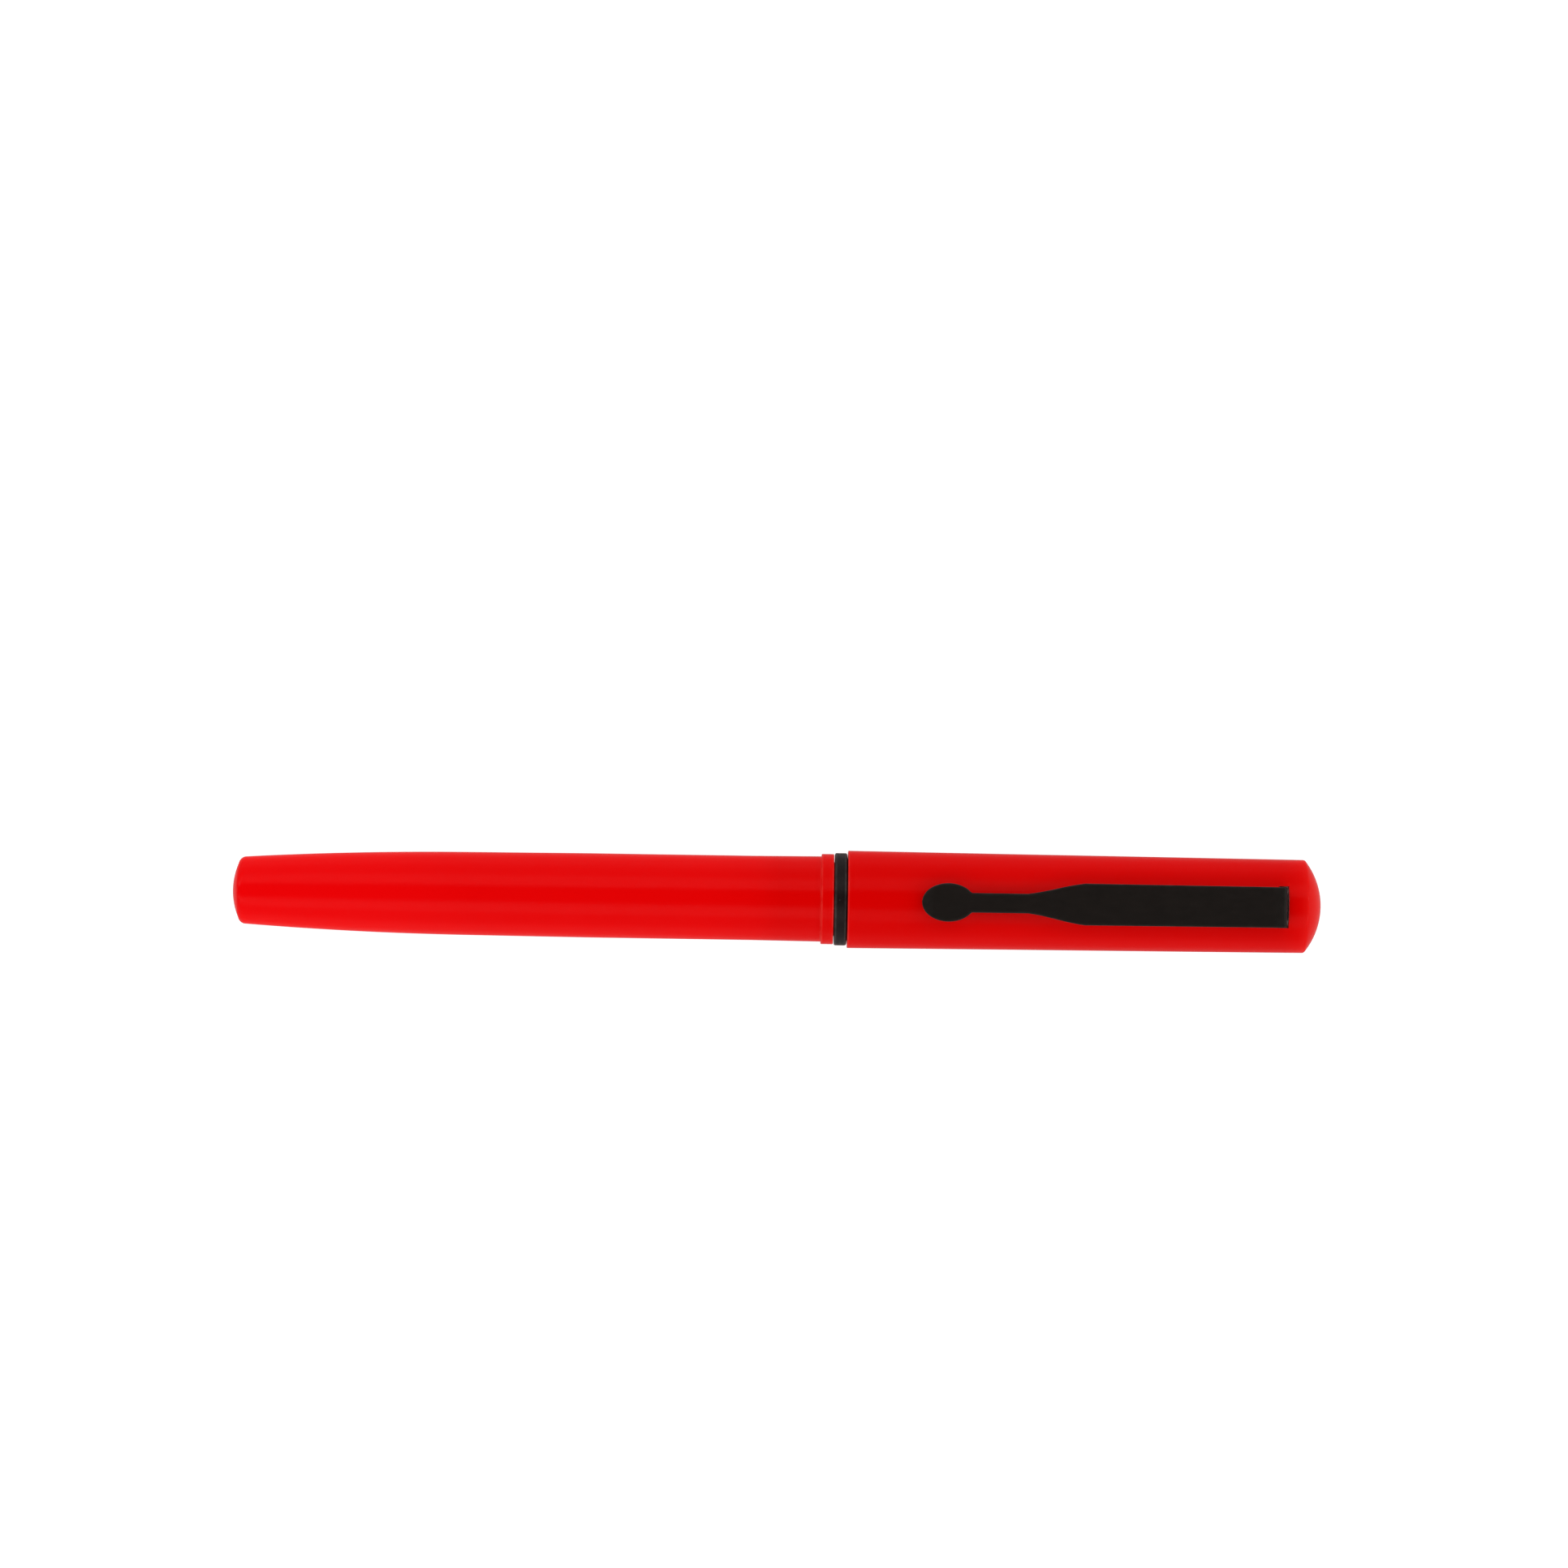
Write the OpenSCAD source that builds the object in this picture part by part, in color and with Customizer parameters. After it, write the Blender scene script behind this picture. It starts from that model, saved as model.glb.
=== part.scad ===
// Capped ball pen. A closed red barrel screws onto a black grip section, a replaceable ball refill
// stands between them on a spring, and a red cap with a black pocket clip pushes over the section.
//
// The pen lies along X with its clip uppermost: the barrel's tail is at -X, the writing end at +X.
// Outlines are lists of [radius, station]. A station is a distance along the axis from the tail's end,
// and its variable's name ends in _at. All lengths are in millimetres.

/* [Pen] */
// Length with the cap on
capped_len = 134; // [133.5:0.1:137]
// Length without the cap, from the tail to the ball
uncapped_len = 123.2; // [123.1:0.05:123.3]
// Running clearance between pieces that slide or turn on each other
running_gap = 0.05; // [0.04:0.01:0.06]
// Gap between pieces that are pushed together and stay together
snug_gap = 0.01; // [0.005:0.005:0.015]

/* [Barrel] */
// Length of the barrel, from the tail to the front of its lip
barrel_len = 74; // [73.9:0.05:74.1]
// Radius of the straight stretch of the barrel
barrel_r = 5.2; // [5.18:0.01:5.23]
// Station where the straight stretch starts
straight_from_at = 44; // [40:1:48]
// Station where the straight stretch ends
straight_to_at = 64; // [60:1:66]
// Radius where the barrel's tapering tail starts
taper_r = 5.12; // [5.08:0.01:5.16]
// Station where the barrel's tapering tail starts
taper_at = 28.5; // [27:0.5:30]
// Radius of the long curve of the tail's wall
taper_curve_r = 440; // [420:10:460]
// Radius of the tail's domed end
tail_dome_r = 8.6; // [8:0.1:10]
// Radius of the rounded edge around the tail's dome
tail_edge_r = 0.9; // [0.6:0.1:1.1]
// Radius of the lip around the barrel's mouth
lip_r = 5.56; // [5.5:0.01:5.6]
// Length of that lip
lip_len = 1.55; // [1.4:0.05:1.7]
// Radius of the long bore that the refill lies in, at its front
barrel_bore_r = 4.2; // [4:0.05:4.3]
// Radius of the long bore at its narrow rear end
barrel_bore_back_r = 3.75; // [3.4:0.05:3.8]
// Thickness of the barrel's closed end
tail_wall = 3.2; // [3:0.1:3.4]

/* [Screw thread] */
// Distance the barrel travels in one turn
thread_pitch = 1.5; // [1.4:0.05:1.6]
// Turns of thread on the section
male_turns = 4; // [3:0.25:4]
// Turns of thread in the barrel
female_turns = 2.75; // [2:0.25:2.75]
// Root radius of the thread on the section
thread_root_r = 4; // [3.95:0.01:4.02]
// Height of the thread's ridges
thread_height = 0.38; // [0.36:0.01:0.4]
// Radial clearance between a crest and the facing root
thread_gap = 0.08; // [0.07:0.01:0.09]

/* [Collar ring] */
// Outer radius of the black ring between barrel and section
ring_r = 5.69; // [5.65:0.01:5.75]
// Inner radius of that ring
ring_bore_r = 4.6; // [4.58:0.01:4.62]
// Length of that ring
ring_len = 1.54; // [1.5:0.01:1.55]

/* [Section] */
// Station of the section's shoulder, where the neck starts
neck_at = 75.66; // [75.65:0.01:75.68]
// Radius of the neck that the cap's mouth covers
neck_r = 5.14; // [5.1:0.01:5.16]
// Station where the neck meets the snap rib
rib_at = 77.25; // [77.2:0.05:77.3]
// Radius of the snap rib
rib_r = 5.28; // [5.24:0.01:5.29]
// Radius of the grip next to the snap rib
grip_back_r = 5.1; // [5.05:0.01:5.14]
// Radius of the grip's front edge
grip_front_r = 3.92; // [3.9:0.01:3.98]
// Station of the grip's front face
grip_front_at = 107.8; // [107.7:0.05:107.9]
// How far the grip's side swells beyond a straight line
grip_swell = 0.045; // [0:0.005:0.06]

/* [Nose cone] */
// Radius of the nose cone where it meets the grip
nose_back_r = 3.69; // [3.65:0.01:3.72]
// Radius of the nose cone at its front
nose_front_r = 2.12; // [2.05:0.01:2.2]
// Station of the nose cone's front face
nose_front_at = 118.95; // [118.8:0.05:119.1]
// Radius of the rounded edge around the front face
nose_edge_r = 0.2; // [0.15:0.05:0.25]

/* [Refill] */
// Length of the refill, from its end plug to the ball
refill_len = 98.1; // [98:0.05:98.2]
// Outer radius of the refill's tube
refill_r = 2.95; // [2.93:0.01:2.97]
// Wall thickness of the tube
tube_wall = 0.3; // [0.25:0.05:0.35]
// Radius of the drawn-down neck at the tube's front
tube_neck_r = 1.6; // [1.55:0.01:1.62]
// Radius of the metal writing point's straight body
point_r = 1.218; // [1.2:0.002:1.23]
// Station where the writing point starts to narrow
point_cone_at = 120.3; // [120.2:0.05:120.4]
// Radius of the ring where the writing point's two cones meet
point_waist_r = 0.708; // [0.69:0.002:0.72]
// Station of that ring
point_waist_at = 121.67; // [121.6:0.01:121.75]
// Radius of the lip that holds the ball
point_lip_r = 0.41; // [0.4:0.005:0.42]
// Radius of the writing ball
ball_r = 0.35; // [0.34:0.005:0.355]

/* [Spring] */
// Radius of the spring's wire
wire_r = 0.225; // [0.2:0.005:0.25]
// Outer radius of the spring
spring_r = 2.55; // [2.4:0.05:2.6]
// Turns of the spring, closed end turns among them
spring_turns = 10; // [8:1:11]

/* [Cap] */
// Station of the cap's mouth
cap_mouth_at = 75.7; // [75.69:0.01:75.75]
// Radius of the cap at its mouth
cap_mouth_r = 6; // [5.95:0.01:6.05]
// Radius of the cap where its side meets the domed end
cap_end_r = 5.74; // [5.65:0.01:5.8]
// Radius of the domed end
cap_dome_r = 9.05; // [8.5:0.05:10]
// Radius of the rounded edge around the dome
cap_edge_r = 0.4; // [0.25:0.05:0.5]
// Radius of the wide part of the cap's bore
cap_bore_r = 5.42; // [5.4:0.01:5.45]
// Radius of the narrow part of the cap's bore, which holds the liner
liner_seat_r = 4.75; // [4.7:0.01:4.8]
// Thickness of the cap's closed end at its middle
crown_wall = 2.4; // [2.3:0.1:2.6]

/* [Pocket clip] */
// Width of the clip's plate at its widest, next to the stem
plate_w = 5.1; // [5:0.02:5.2]
// Width of the clip's plate at its fold
plate_end_w = 4.96; // [4.8:0.02:5]
// Width of the clip's stem
stem_w = 2.4; // [2.2:0.1:2.8]
// Width of the clip's oval head
head_w = 4.7; // [4.4:0.1:4.8]
// Station of the clip's free end
head_front_at = 84.7; // [84.2:0.1:85.2]
// Station of the clip's folded end
fold_at = 129.2; // [129.1:0.05:129.3]
// Thickness of the clip's strip
strip_t = 0.7; // [0.6:0.05:0.75]
// Height of the strip's underside over the pen's axis
strip_under = 6.8; // [6.7:0.05:7]

/* [Hidden] */

// Roundness of the turned surfaces, and steps along a small arc and along a long curve
$fn = 96;
arc_steps = 6;
curve_steps = 10;
// How far a cutting shape runs past the face it cuts, and the size of a small bevel
over = 1;
bevel = 0.12;

// Barrel: the taper's slope at its wide end, the mouth behind the lip, and the tail's rounded edge
draft = (barrel_r - taper_r) / (straight_from_at - taper_at);
mouth_r = barrel_r + 0.06;
mouth_at = barrel_len - lip_len;
lip_edge_r = 0.25;
tail_edge_at = 1.6;
tail_r = taper_radius(tail_edge_at);
tail_edge_from = -90 + asin((tail_r - tail_edge_r) / (tail_dome_r - tail_edge_r));
spring_bore_r = 3;
spring_bore_at = 12;

// Thread: the female root is the barrel's mouth bore, and its crest faces the male root
female_root_r = thread_root_r + thread_height + thread_gap;
female_crest_r = thread_root_r + thread_gap;
male_thread_at = 66;
female_thread_at = male_thread_at + thread_pitch * 1.5;
ridge_root_w = 0.8;
ridge_crest_w = 0.35;
ridge_sunk = 0.12;
ridge_steps = 24;
thread_entry_at = barrel_len - 1.1;
thread_entry_len = 0.15;
thread_end_at = 63.6;
thread_end_len = 1;

// Collar ring: the gap between it and the section's shoulder, and its rounded outer edges
ring_gap = 0.03;
ring_at = neck_at - ring_len - ring_gap;
ring_back_edge_r = 0.2;
ring_front_edge_r = 0.25;

// Section: the shank behind the shoulder, the rib's flat top, and the socket for the nose cone
shank_end_at = 64.6;
shank_bevel = 0.3;
ring_seat_r = ring_bore_r - running_gap;
ring_seat_at = 73.2;
ring_seat_cone_len = 0.4;
rib_top = 0.1;
rib_front_at = 77.96;
refill_gap = 0.1;
refill_bore_r = refill_r + refill_gap;
socket_r = 3.45;
socket_at = 103.8;

// Refill: the tube's shoulder and neck, its notched end plug, and what fills it
refill_at = uncapped_len - refill_len;
plug_flange_r = refill_r - 0.05;
plug_flange_len = 2.5;
plug_spigot_len = 3.6;
plug_bevel = 0.25;
plug_notch_w = 1;
plug_notch_depth = 1.2;
vent_r = 0.6;
tube_at = refill_at + plug_flange_len;
tube_bore_r = refill_r - tube_wall;
filling_r = tube_bore_r - snug_gap;
shoulder_at = 105;
shoulder_len = 1.6;
tube_neck_at = shoulder_at + shoulder_len;
tube_front_at = 112.6;
follower_at = 44;
follower_len = 4;

// Nose cone: its spigot, the cone that stops the refill, and the two front bores
spigot_r = socket_r - snug_gap;
spigot_at = socket_at + 0.2;
nose_at = grip_front_at + 0.05;
stop_gap = 0.02;
stop_at = shoulder_at + stop_gap - refill_gap * shoulder_len / (refill_r - tube_neck_r);
neck_bore_r = tube_neck_r + refill_gap;
neck_bore_end_at = 113.2;
neck_bore_end_len = 0.4;
point_gap = 0.062;
point_bore_r = point_r + point_gap;
nose_lean = atan((nose_back_r - nose_front_r) / (nose_front_at - nose_at));

// Writing point: its shank in the tube's neck, the ring between its cones, its channels and its lip
point_shank_r = 1.05;
point_shank_at = 109.4;
point_at = tube_front_at + snug_gap;
waist_rise = 0.03;
waist_fall = 0.01;
waist_half_len = 0.04;
lip_wall = 0.03;
lip_curl = 0.05;
lip_cone_len = 0.1;
ink_channel_r = 0.5;
ink_channel_end_at = point_cone_at - 0.5;
feed_channel_r = 0.18;
ball_gap = 0.015;
ball_at = uncapped_len - ball_r;

// Spring: it stands on the barrel's closed end and pushes the refill's end plug
spring_from = tail_wall + wire_r;
spring_to = refill_at - wire_r;
closed_turns = 1.25;
coil_steps = 12;
wire_sides = 6;

// Cap: the slight bends of its side, its bore, and its snap ridge
cap_side = [[cap_mouth_r, cap_mouth_at + bevel], [5.9, 96], [5.84, 110.45]];
cap_dome_at = capped_len - cap_dome_r;
cap_edge_at = cap_dome_at + across(cap_dome_r - cap_edge_r, cap_end_r - cap_edge_r);
crown_at = capped_len - crown_wall;
bore_cone_at = 80;
liner_seat_at = 112;
snap_gap = 0.03;
snap_r = rib_r + snap_gap;
snap_at = 76.05;
snap_bevel_len = 0.25;
snap_top_len = 0.3;

// Liner inside the cap: a sleeve around the nose cone, and a plug behind it
liner_mouth_at = 108.3;
liner_mouth_r = 3.85;
liner_sleeve_r = 4.3;
liner_plug_at = 118;
liner_plug_cone_len = 0.5;
liner_nose_r = 2.45;
liner_nose_end_at = nose_front_at + 0.6;
liner_tip_r = 1.6;
liner_tip_at = 124.6;
liner_tip_bevel = 0.6;

// Clip: the slot in the cap, the tab under the cap's wall, and the strip's outline
slot_side_gap = 0.08;
slot_back_gap = 0.1;
slot_front_gap = 0.4;
tab_w = 3;
tab_len = 3;
tab_top = 4.15;
tab_t = 0.6;
tab_room = 0.2;
leg_foot = 4.75;
fold_r = 0.5;
head_len = 6.5;
swell_from_at = 97.6;
swell_to_at = 104.6;
swell_ease = 0.4;
head_rise = 0.35;
head_rise_len = 1.6;
dimple_r = 1.9;
dimple_gap = 0.03;
dimple_at = head_front_at + head_len / 2;

// The other leg of a right triangle
function across(hypotenuse, leg) = sqrt(hypotenuse * hypotenuse - leg * leg);

// Value a share of the way from one number or point to another
function between(a, b, share) = a + (b - a) * share;

// Points on an arc in [radius, station], from one angle to another
function arc(centre, r, from, to, steps = arc_steps) =
    [for (i = [0:steps]) centre + r * [cos(between(from, to, i / steps)), sin(between(from, to, i / steps))]];

// Outer radius of the barrel's tapering tail
function taper_radius(at) = taper_r - draft * (taper_at - at) - pow(taper_at - at, 2) / (2 * taper_curve_r);

// Outer radius of the cap between its mouth and the first bend of its side
function cap_radius(at) =
    between(cap_side[0][0], cap_side[1][0], (at - cap_side[0][1]) / (cap_side[1][1] - cap_side[0][1]));

// Height of the closed end turns and open turns of the spring, from 0 to 1 over its length
function coil_share(turn) =
    let (closed_rise = 2 * wire_r / (spring_to - spring_from),
         open_turns = spring_turns - 2 * closed_turns,
         from_start = min(turn, closed_turns) * closed_rise,
         at_end = max(turn - spring_turns + closed_turns, 0) * closed_rise,
         middle = min(max(turn - closed_turns, 0), open_turns) / open_turns)
    from_start + at_end + middle * (1 - 2 * closed_turns * closed_rise);

// How far a station lies between two others, from 0 to 1
function share_of(at, from, to) = min(max((at - from) / (to - from), 0), 1);

// Half of the clip's width at a station: oval head, stem, swelling, and a plate that narrows to the fold
function clip_half_width(at) =
    let (u = (at - dimple_at) / (head_len / 2),
         head = abs(u) < 1 ? head_w / 2 * sqrt(1 - u * u) : 0,
         swell = share_of(at, swell_from_at, swell_to_at),
         eased = between(swell, (1 - cos(180 * swell)) / 2, swell_ease),
         narrowed = (plate_w - plate_end_w) * share_of(at, swell_to_at, fold_at),
         strip = (between(stem_w, plate_w, eased) - narrowed) / 2)
    at < dimple_at ? head : max(head, strip);

// Places an outline's solid of revolution on the pen's axis
module on_axis() {
    translate([-capped_len / 2, 0, cap_mouth_r]) rotate([0, 90, 0]) children();
}

module turned(points) {
    on_axis() rotate_extrude() polygon(points);
}

// Puts shapes drawn as [station, across, height over the axis] in the pen's place
module at_stations() {
    translate([-capped_len / 2, 0, cap_mouth_r]) children();
}

// Box between two corners given as [station, across, height over the axis]
module box(low, high) {
    translate(low) cube(high - low);
}

// Closed skin over rings of points, each ring counter-clockwise in [radius, station]
module skin(rings) {
    sides = len(rings[0]);
    last = len(rings) - 1;
    polyhedron(
        points = [for (ring = rings) for (point = ring) point],
        faces = concat(
            [[for (j = [sides - 1:-1:0]) j]],
            [for (i = [0:last - 1]) for (j = [0:sides - 1])
                [(i + 1) * sides + (j + 1) % sides, (i + 1) * sides + j, i * sides + j]],
            [for (i = [0:last - 1]) for (j = [0:sides - 1])
                [(i + 1) * sides + (j + 1) % sides, i * sides + j, i * sides + (j + 1) % sides]],
            [[for (j = [0:sides - 1]) last * sides + j]]
        )
    );
}

// Right-handed screw ridge of four-sided section that rises out of its root and fades into it again
module screw_ridge(root_r, crest_r, from, turns) {
    out = sign(crest_r - root_r);
    sunk_r = root_r - out * ridge_sunk;
    faded_r = root_r - out * ridge_sunk / 2;
    last = turns * ridge_steps;
    fade = ridge_steps / 4;
    skin([for (i = [0:last])
        let (angle = 360 * i / ridge_steps,
             centre = from + thread_pitch * i / ridge_steps,
             top_r = between(faded_r, crest_r, min(1, i / fade, (last - i) / fade)))
        [for (p = [[sunk_r, -ridge_root_w], [top_r, -ridge_crest_w],
                   [top_r, ridge_crest_w], [sunk_r, ridge_root_w]])
            [p[0] * cos(angle), p[0] * sin(angle), centre + out * p[1] / 2]]]);
}

module barrel() {
    outside = concat(
        arc([0, tail_dome_r], tail_dome_r, -90, tail_edge_from),
        arc([tail_r - tail_edge_r, tail_edge_at], tail_edge_r, tail_edge_from, 0),
        [for (i = [1:curve_steps])
            let (at = between(tail_edge_at, taper_at, i / curve_steps)) [taper_radius(at), at]],
        [[barrel_r, straight_from_at], [barrel_r, straight_to_at], [mouth_r, mouth_at]],
        arc([lip_r - lip_edge_r, mouth_at + lip_edge_r], lip_edge_r, -90, 0),
        [[lip_r, barrel_len - bevel], [lip_r - bevel, barrel_len]]
    );
    inside = [
        [ring_bore_r, barrel_len], [ring_bore_r, thread_entry_at],
        [female_root_r, thread_entry_at - thread_entry_len],
        [female_root_r, thread_end_at], [barrel_bore_r, thread_end_at - thread_end_len],
        [barrel_bore_back_r, spring_bore_at], [spring_bore_r, tail_wall + bevel],
        [spring_bore_r - bevel, tail_wall], [0, tail_wall]
    ];
    color([0.89, 0.06, 0.05]) {
        turned(concat(outside, inside));
        on_axis() screw_ridge(female_root_r, female_crest_r, female_thread_at, female_turns);
    }
}

module collar_ring() {
    front = ring_at + ring_len;
    color([0.1, 0.1, 0.1]) turned(concat(
        [[ring_bore_r, ring_at]],
        arc([ring_r - ring_back_edge_r, ring_at + ring_back_edge_r], ring_back_edge_r, -90, 0),
        arc([ring_r - ring_front_edge_r, front - ring_front_edge_r], ring_front_edge_r, 0, 90),
        [[ring_bore_r, front]]
    ));
}

module grip_section() {
    outside = concat(
        [[thread_root_r - shank_bevel, shank_end_at], [thread_root_r, shank_end_at + shank_bevel],
         [thread_root_r, ring_seat_at - ring_seat_cone_len],
         [ring_seat_r, ring_seat_at], [ring_seat_r, neck_at],
         [neck_r - bevel, neck_at], [neck_r, neck_at + bevel], [neck_r, rib_at],
         [rib_r, rib_at + bevel], [rib_r, rib_at + bevel + rib_top]],
        [for (i = [0:curve_steps])
            let (share = i / curve_steps)
            [between(grip_back_r, grip_front_r, share) + grip_swell * 4 * share * (1 - share),
             between(rib_front_at, grip_front_at - bevel, share)]],
        [[grip_front_r - bevel, grip_front_at]]
    );
    inside = [
        [socket_r, grip_front_at], [socket_r, socket_at],
        [refill_bore_r, socket_at], [refill_bore_r, shank_end_at]
    ];
    color([0.13, 0.13, 0.12]) {
        turned(concat(outside, inside));
        on_axis() screw_ridge(thread_root_r, thread_root_r + thread_height, male_thread_at, male_turns);
    }
}

module nose_cone() {
    color([0.13, 0.13, 0.12]) turned(concat(
        [[refill_bore_r, spigot_at], [spigot_r, spigot_at], [spigot_r, nose_at],
         [nose_back_r - bevel, nose_at], [nose_back_r, nose_at + bevel]],
        arc([nose_front_r - nose_edge_r, nose_front_at - nose_edge_r], nose_edge_r, nose_lean, 90),
        [[point_bore_r, nose_front_at], [point_bore_r, neck_bore_end_at + neck_bore_end_len],
         [neck_bore_r, neck_bore_end_at], [neck_bore_r, stop_at + shoulder_len],
         [refill_bore_r, stop_at]]
    ));
}

module refill_tube() {
    color([0.72, 0.72, 0.7]) turned([
        [tube_bore_r, tube_at], [refill_r, tube_at], [refill_r, shoulder_at],
        [tube_neck_r, tube_neck_at], [tube_neck_r, tube_front_at],
        [point_shank_r + snug_gap, tube_front_at], [point_shank_r + snug_gap, tube_neck_at],
        [tube_bore_r, shoulder_at]
    ]);
}

module refill_end_plug() {
    front = tube_at + plug_spigot_len;
    color([0.2, 0.25, 0.6]) difference() {
        turned([
            [vent_r, refill_at], [plug_flange_r - plug_bevel, refill_at],
            [plug_flange_r, refill_at + plug_bevel], [plug_flange_r, tube_at - snug_gap],
            [filling_r, tube_at - snug_gap], [filling_r, front - plug_bevel],
            [filling_r - plug_bevel, front], [vent_r, front]
        ]);
        at_stations() for (turn = [0, 90]) rotate([turn, 0, 0])
            box([refill_at - over, -refill_r - over, -plug_notch_w / 2],
                [refill_at + plug_notch_depth, refill_r + over, plug_notch_w / 2]);
    }
}

module ink_follower() {
    color([0.85, 0.85, 0.75]) turned([
        [0, follower_at], [filling_r, follower_at],
        [filling_r, follower_at + follower_len], [0, follower_at + follower_len]
    ]);
}

module ink_column() {
    from = follower_at + follower_len + snug_gap;
    color([0.05, 0.08, 0.35]) turned([
        [0, from], [filling_r, from], [filling_r, shoulder_at],
        [point_shank_r, tube_neck_at], [point_shank_r, point_shank_at - snug_gap],
        [0, point_shank_at - snug_gap]
    ]);
}

module writing_point() {
    seat_r = ball_r + ball_gap;
    lip_at = ball_at + across(seat_r, point_lip_r - lip_wall - lip_curl);
    color([0.78, 0.7, 0.58]) difference() {
        turned([
            [0, point_shank_at], [point_shank_r - bevel, point_shank_at],
            [point_shank_r, point_shank_at + bevel], [point_shank_r, point_at],
            [point_r, point_at], [point_r, point_cone_at],
            [point_waist_r + waist_rise, point_waist_at - waist_half_len],
            [point_waist_r - waist_fall, point_waist_at + waist_half_len],
            [point_lip_r, lip_at - lip_cone_len], [point_lip_r - lip_wall, lip_at], [0, lip_at]
        ]);
        turned([
            [0, point_shank_at - over], [ink_channel_r, point_shank_at - over],
            [ink_channel_r, ink_channel_end_at], [feed_channel_r, point_cone_at],
            [feed_channel_r, ball_at], [0, ball_at]
        ]);
        at_stations() translate([ball_at, 0, 0]) sphere(seat_r);
    }
}

module writing_ball() {
    color([0.75, 0.75, 0.78]) at_stations() translate([ball_at, 0, 0]) sphere(ball_r);
}

module refill_spring() {
    color([0.75, 0.76, 0.78]) on_axis() skin([for (i = [0:spring_turns * coil_steps])
        let (turn = i / coil_steps, rise = between(spring_from, spring_to, coil_share(turn)))
        [for (j = [0:wire_sides - 1])
            let (a = 360 * j / wire_sides, r = spring_r - wire_r + wire_r * cos(a))
            [r * cos(360 * turn), r * sin(360 * turn), rise + wire_r * sin(a)]]]);
}

module cap_shell() {
    dome_lean = atan2(cap_edge_at - cap_dome_at, cap_end_r - cap_edge_r);
    outside = concat(
        [[cap_mouth_r - bevel, cap_mouth_at]], cap_side,
        arc([cap_end_r - cap_edge_r, cap_edge_at], cap_edge_r, 0, dome_lean),
        [for (i = [1:curve_steps])
            let (a = between(dome_lean, 90, i / curve_steps))
            [cap_dome_r * cos(a), cap_dome_at + cap_dome_r * sin(a)]]
    );
    inside = [
        [0, crown_at], [liner_seat_r, crown_at], [liner_seat_r, liner_seat_at], [cap_bore_r, bore_cone_at],
        [cap_bore_r, snap_at + snap_top_len + 2 * snap_bevel_len],
        [snap_r, snap_at + snap_top_len + snap_bevel_len], [snap_r, snap_at + snap_bevel_len],
        [cap_bore_r, snap_at], [cap_bore_r, cap_mouth_at + bevel], [cap_bore_r + bevel, cap_mouth_at]
    ];
    slot_half = plate_end_w / 2 + slot_side_gap;
    color([0.82, 0.05, 0.04]) difference() {
        turned(concat(outside, inside));
        at_stations() box([fold_at - strip_t - slot_back_gap, -slot_half, tab_top - tab_t],
                          [fold_at + slot_front_gap, slot_half, cap_mouth_r + over]);
    }
}

module inner_cap() {
    outer_r = liner_seat_r - snug_gap;
    room_half = tab_w / 2 + tab_room;
    color([0.85, 0.85, 0.82]) difference() {
        turned([
            [liner_mouth_r, liner_mouth_at], [liner_sleeve_r, liner_mouth_at],
            [liner_sleeve_r, liner_plug_at - liner_plug_cone_len], [outer_r, liner_plug_at],
            [outer_r, crown_at - snug_gap], [0, crown_at - snug_gap],
            [0, liner_tip_at], [liner_tip_r - liner_tip_bevel, liner_tip_at],
            [liner_tip_r, liner_tip_at - liner_tip_bevel], [liner_tip_r, liner_nose_end_at],
            [liner_nose_r, liner_nose_end_at], [liner_nose_r, liner_plug_at]
        ]);
        at_stations() box([fold_at - strip_t - tab_len - tab_room, -room_half, tab_top - tab_t - tab_room],
                          [fold_at + slot_front_gap, room_half, liner_seat_r + over]);
    }
}

// Side view of the clip's strip as [station, height over the axis], folded down at its +X end
module clip_side() {
    top = strip_under + strip_t;
    polygon(concat(
        [[head_front_at, strip_under + head_rise], [head_front_at, top + head_rise],
         [head_front_at + head_rise_len, top]],
        arc([fold_at - fold_r, top - fold_r], fold_r, 90, 0),
        [[fold_at, leg_foot], [fold_at - strip_t, leg_foot], [fold_at - strip_t, strip_under],
         [head_front_at + head_rise_len, strip_under]]
    ));
}

// Plan view of the clip as [station, across]
module clip_plan() {
    stations = concat(
        [for (i = [0:curve_steps]) dimple_at - head_len / 2 * cos(90 * i / curve_steps)],
        [for (i = [1:curve_steps]) dimple_at + head_len / 2 * sin(60 * i / curve_steps)],
        [for (i = [0:curve_steps]) between(swell_from_at, swell_to_at, i / curve_steps)],
        [fold_at, fold_at + over]
    );
    count = len(stations);
    polygon(concat(
        [for (at = stations) [at, clip_half_width(at)]],
        [for (i = [count - 1:-1:1]) [stations[i], -clip_half_width(stations[i])]]
    ));
}

module clip() {
    color([0.1, 0.1, 0.08]) at_stations() {
        intersection() {
            rotate([90, 0, 0]) linear_extrude(plate_w + over, center = true) clip_side();
            linear_extrude(strip_under + over + strip_t) clip_plan();
        }
        box([fold_at - strip_t, -tab_w / 2, tab_top - tab_t], [fold_at, tab_w / 2, leg_foot]);
        box([fold_at - strip_t - tab_len, -tab_w / 2, tab_top - tab_t],
            [fold_at - strip_t, tab_w / 2, tab_top]);
        intersection() {
            translate([dimple_at, 0, cap_radius(dimple_at) + dimple_gap + dimple_r]) sphere(dimple_r);
            box([head_front_at, -head_w / 2, 0], [swell_from_at, head_w / 2, strip_under + strip_t / 2]);
        }
    }
}

barrel();
collar_ring();
grip_section();
nose_cone();
refill_tube();
refill_end_plug();
ink_column();
ink_follower();
writing_point();
writing_ball();
refill_spring();
cap_shell();
inner_cap();
clip();
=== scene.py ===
import math

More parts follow.
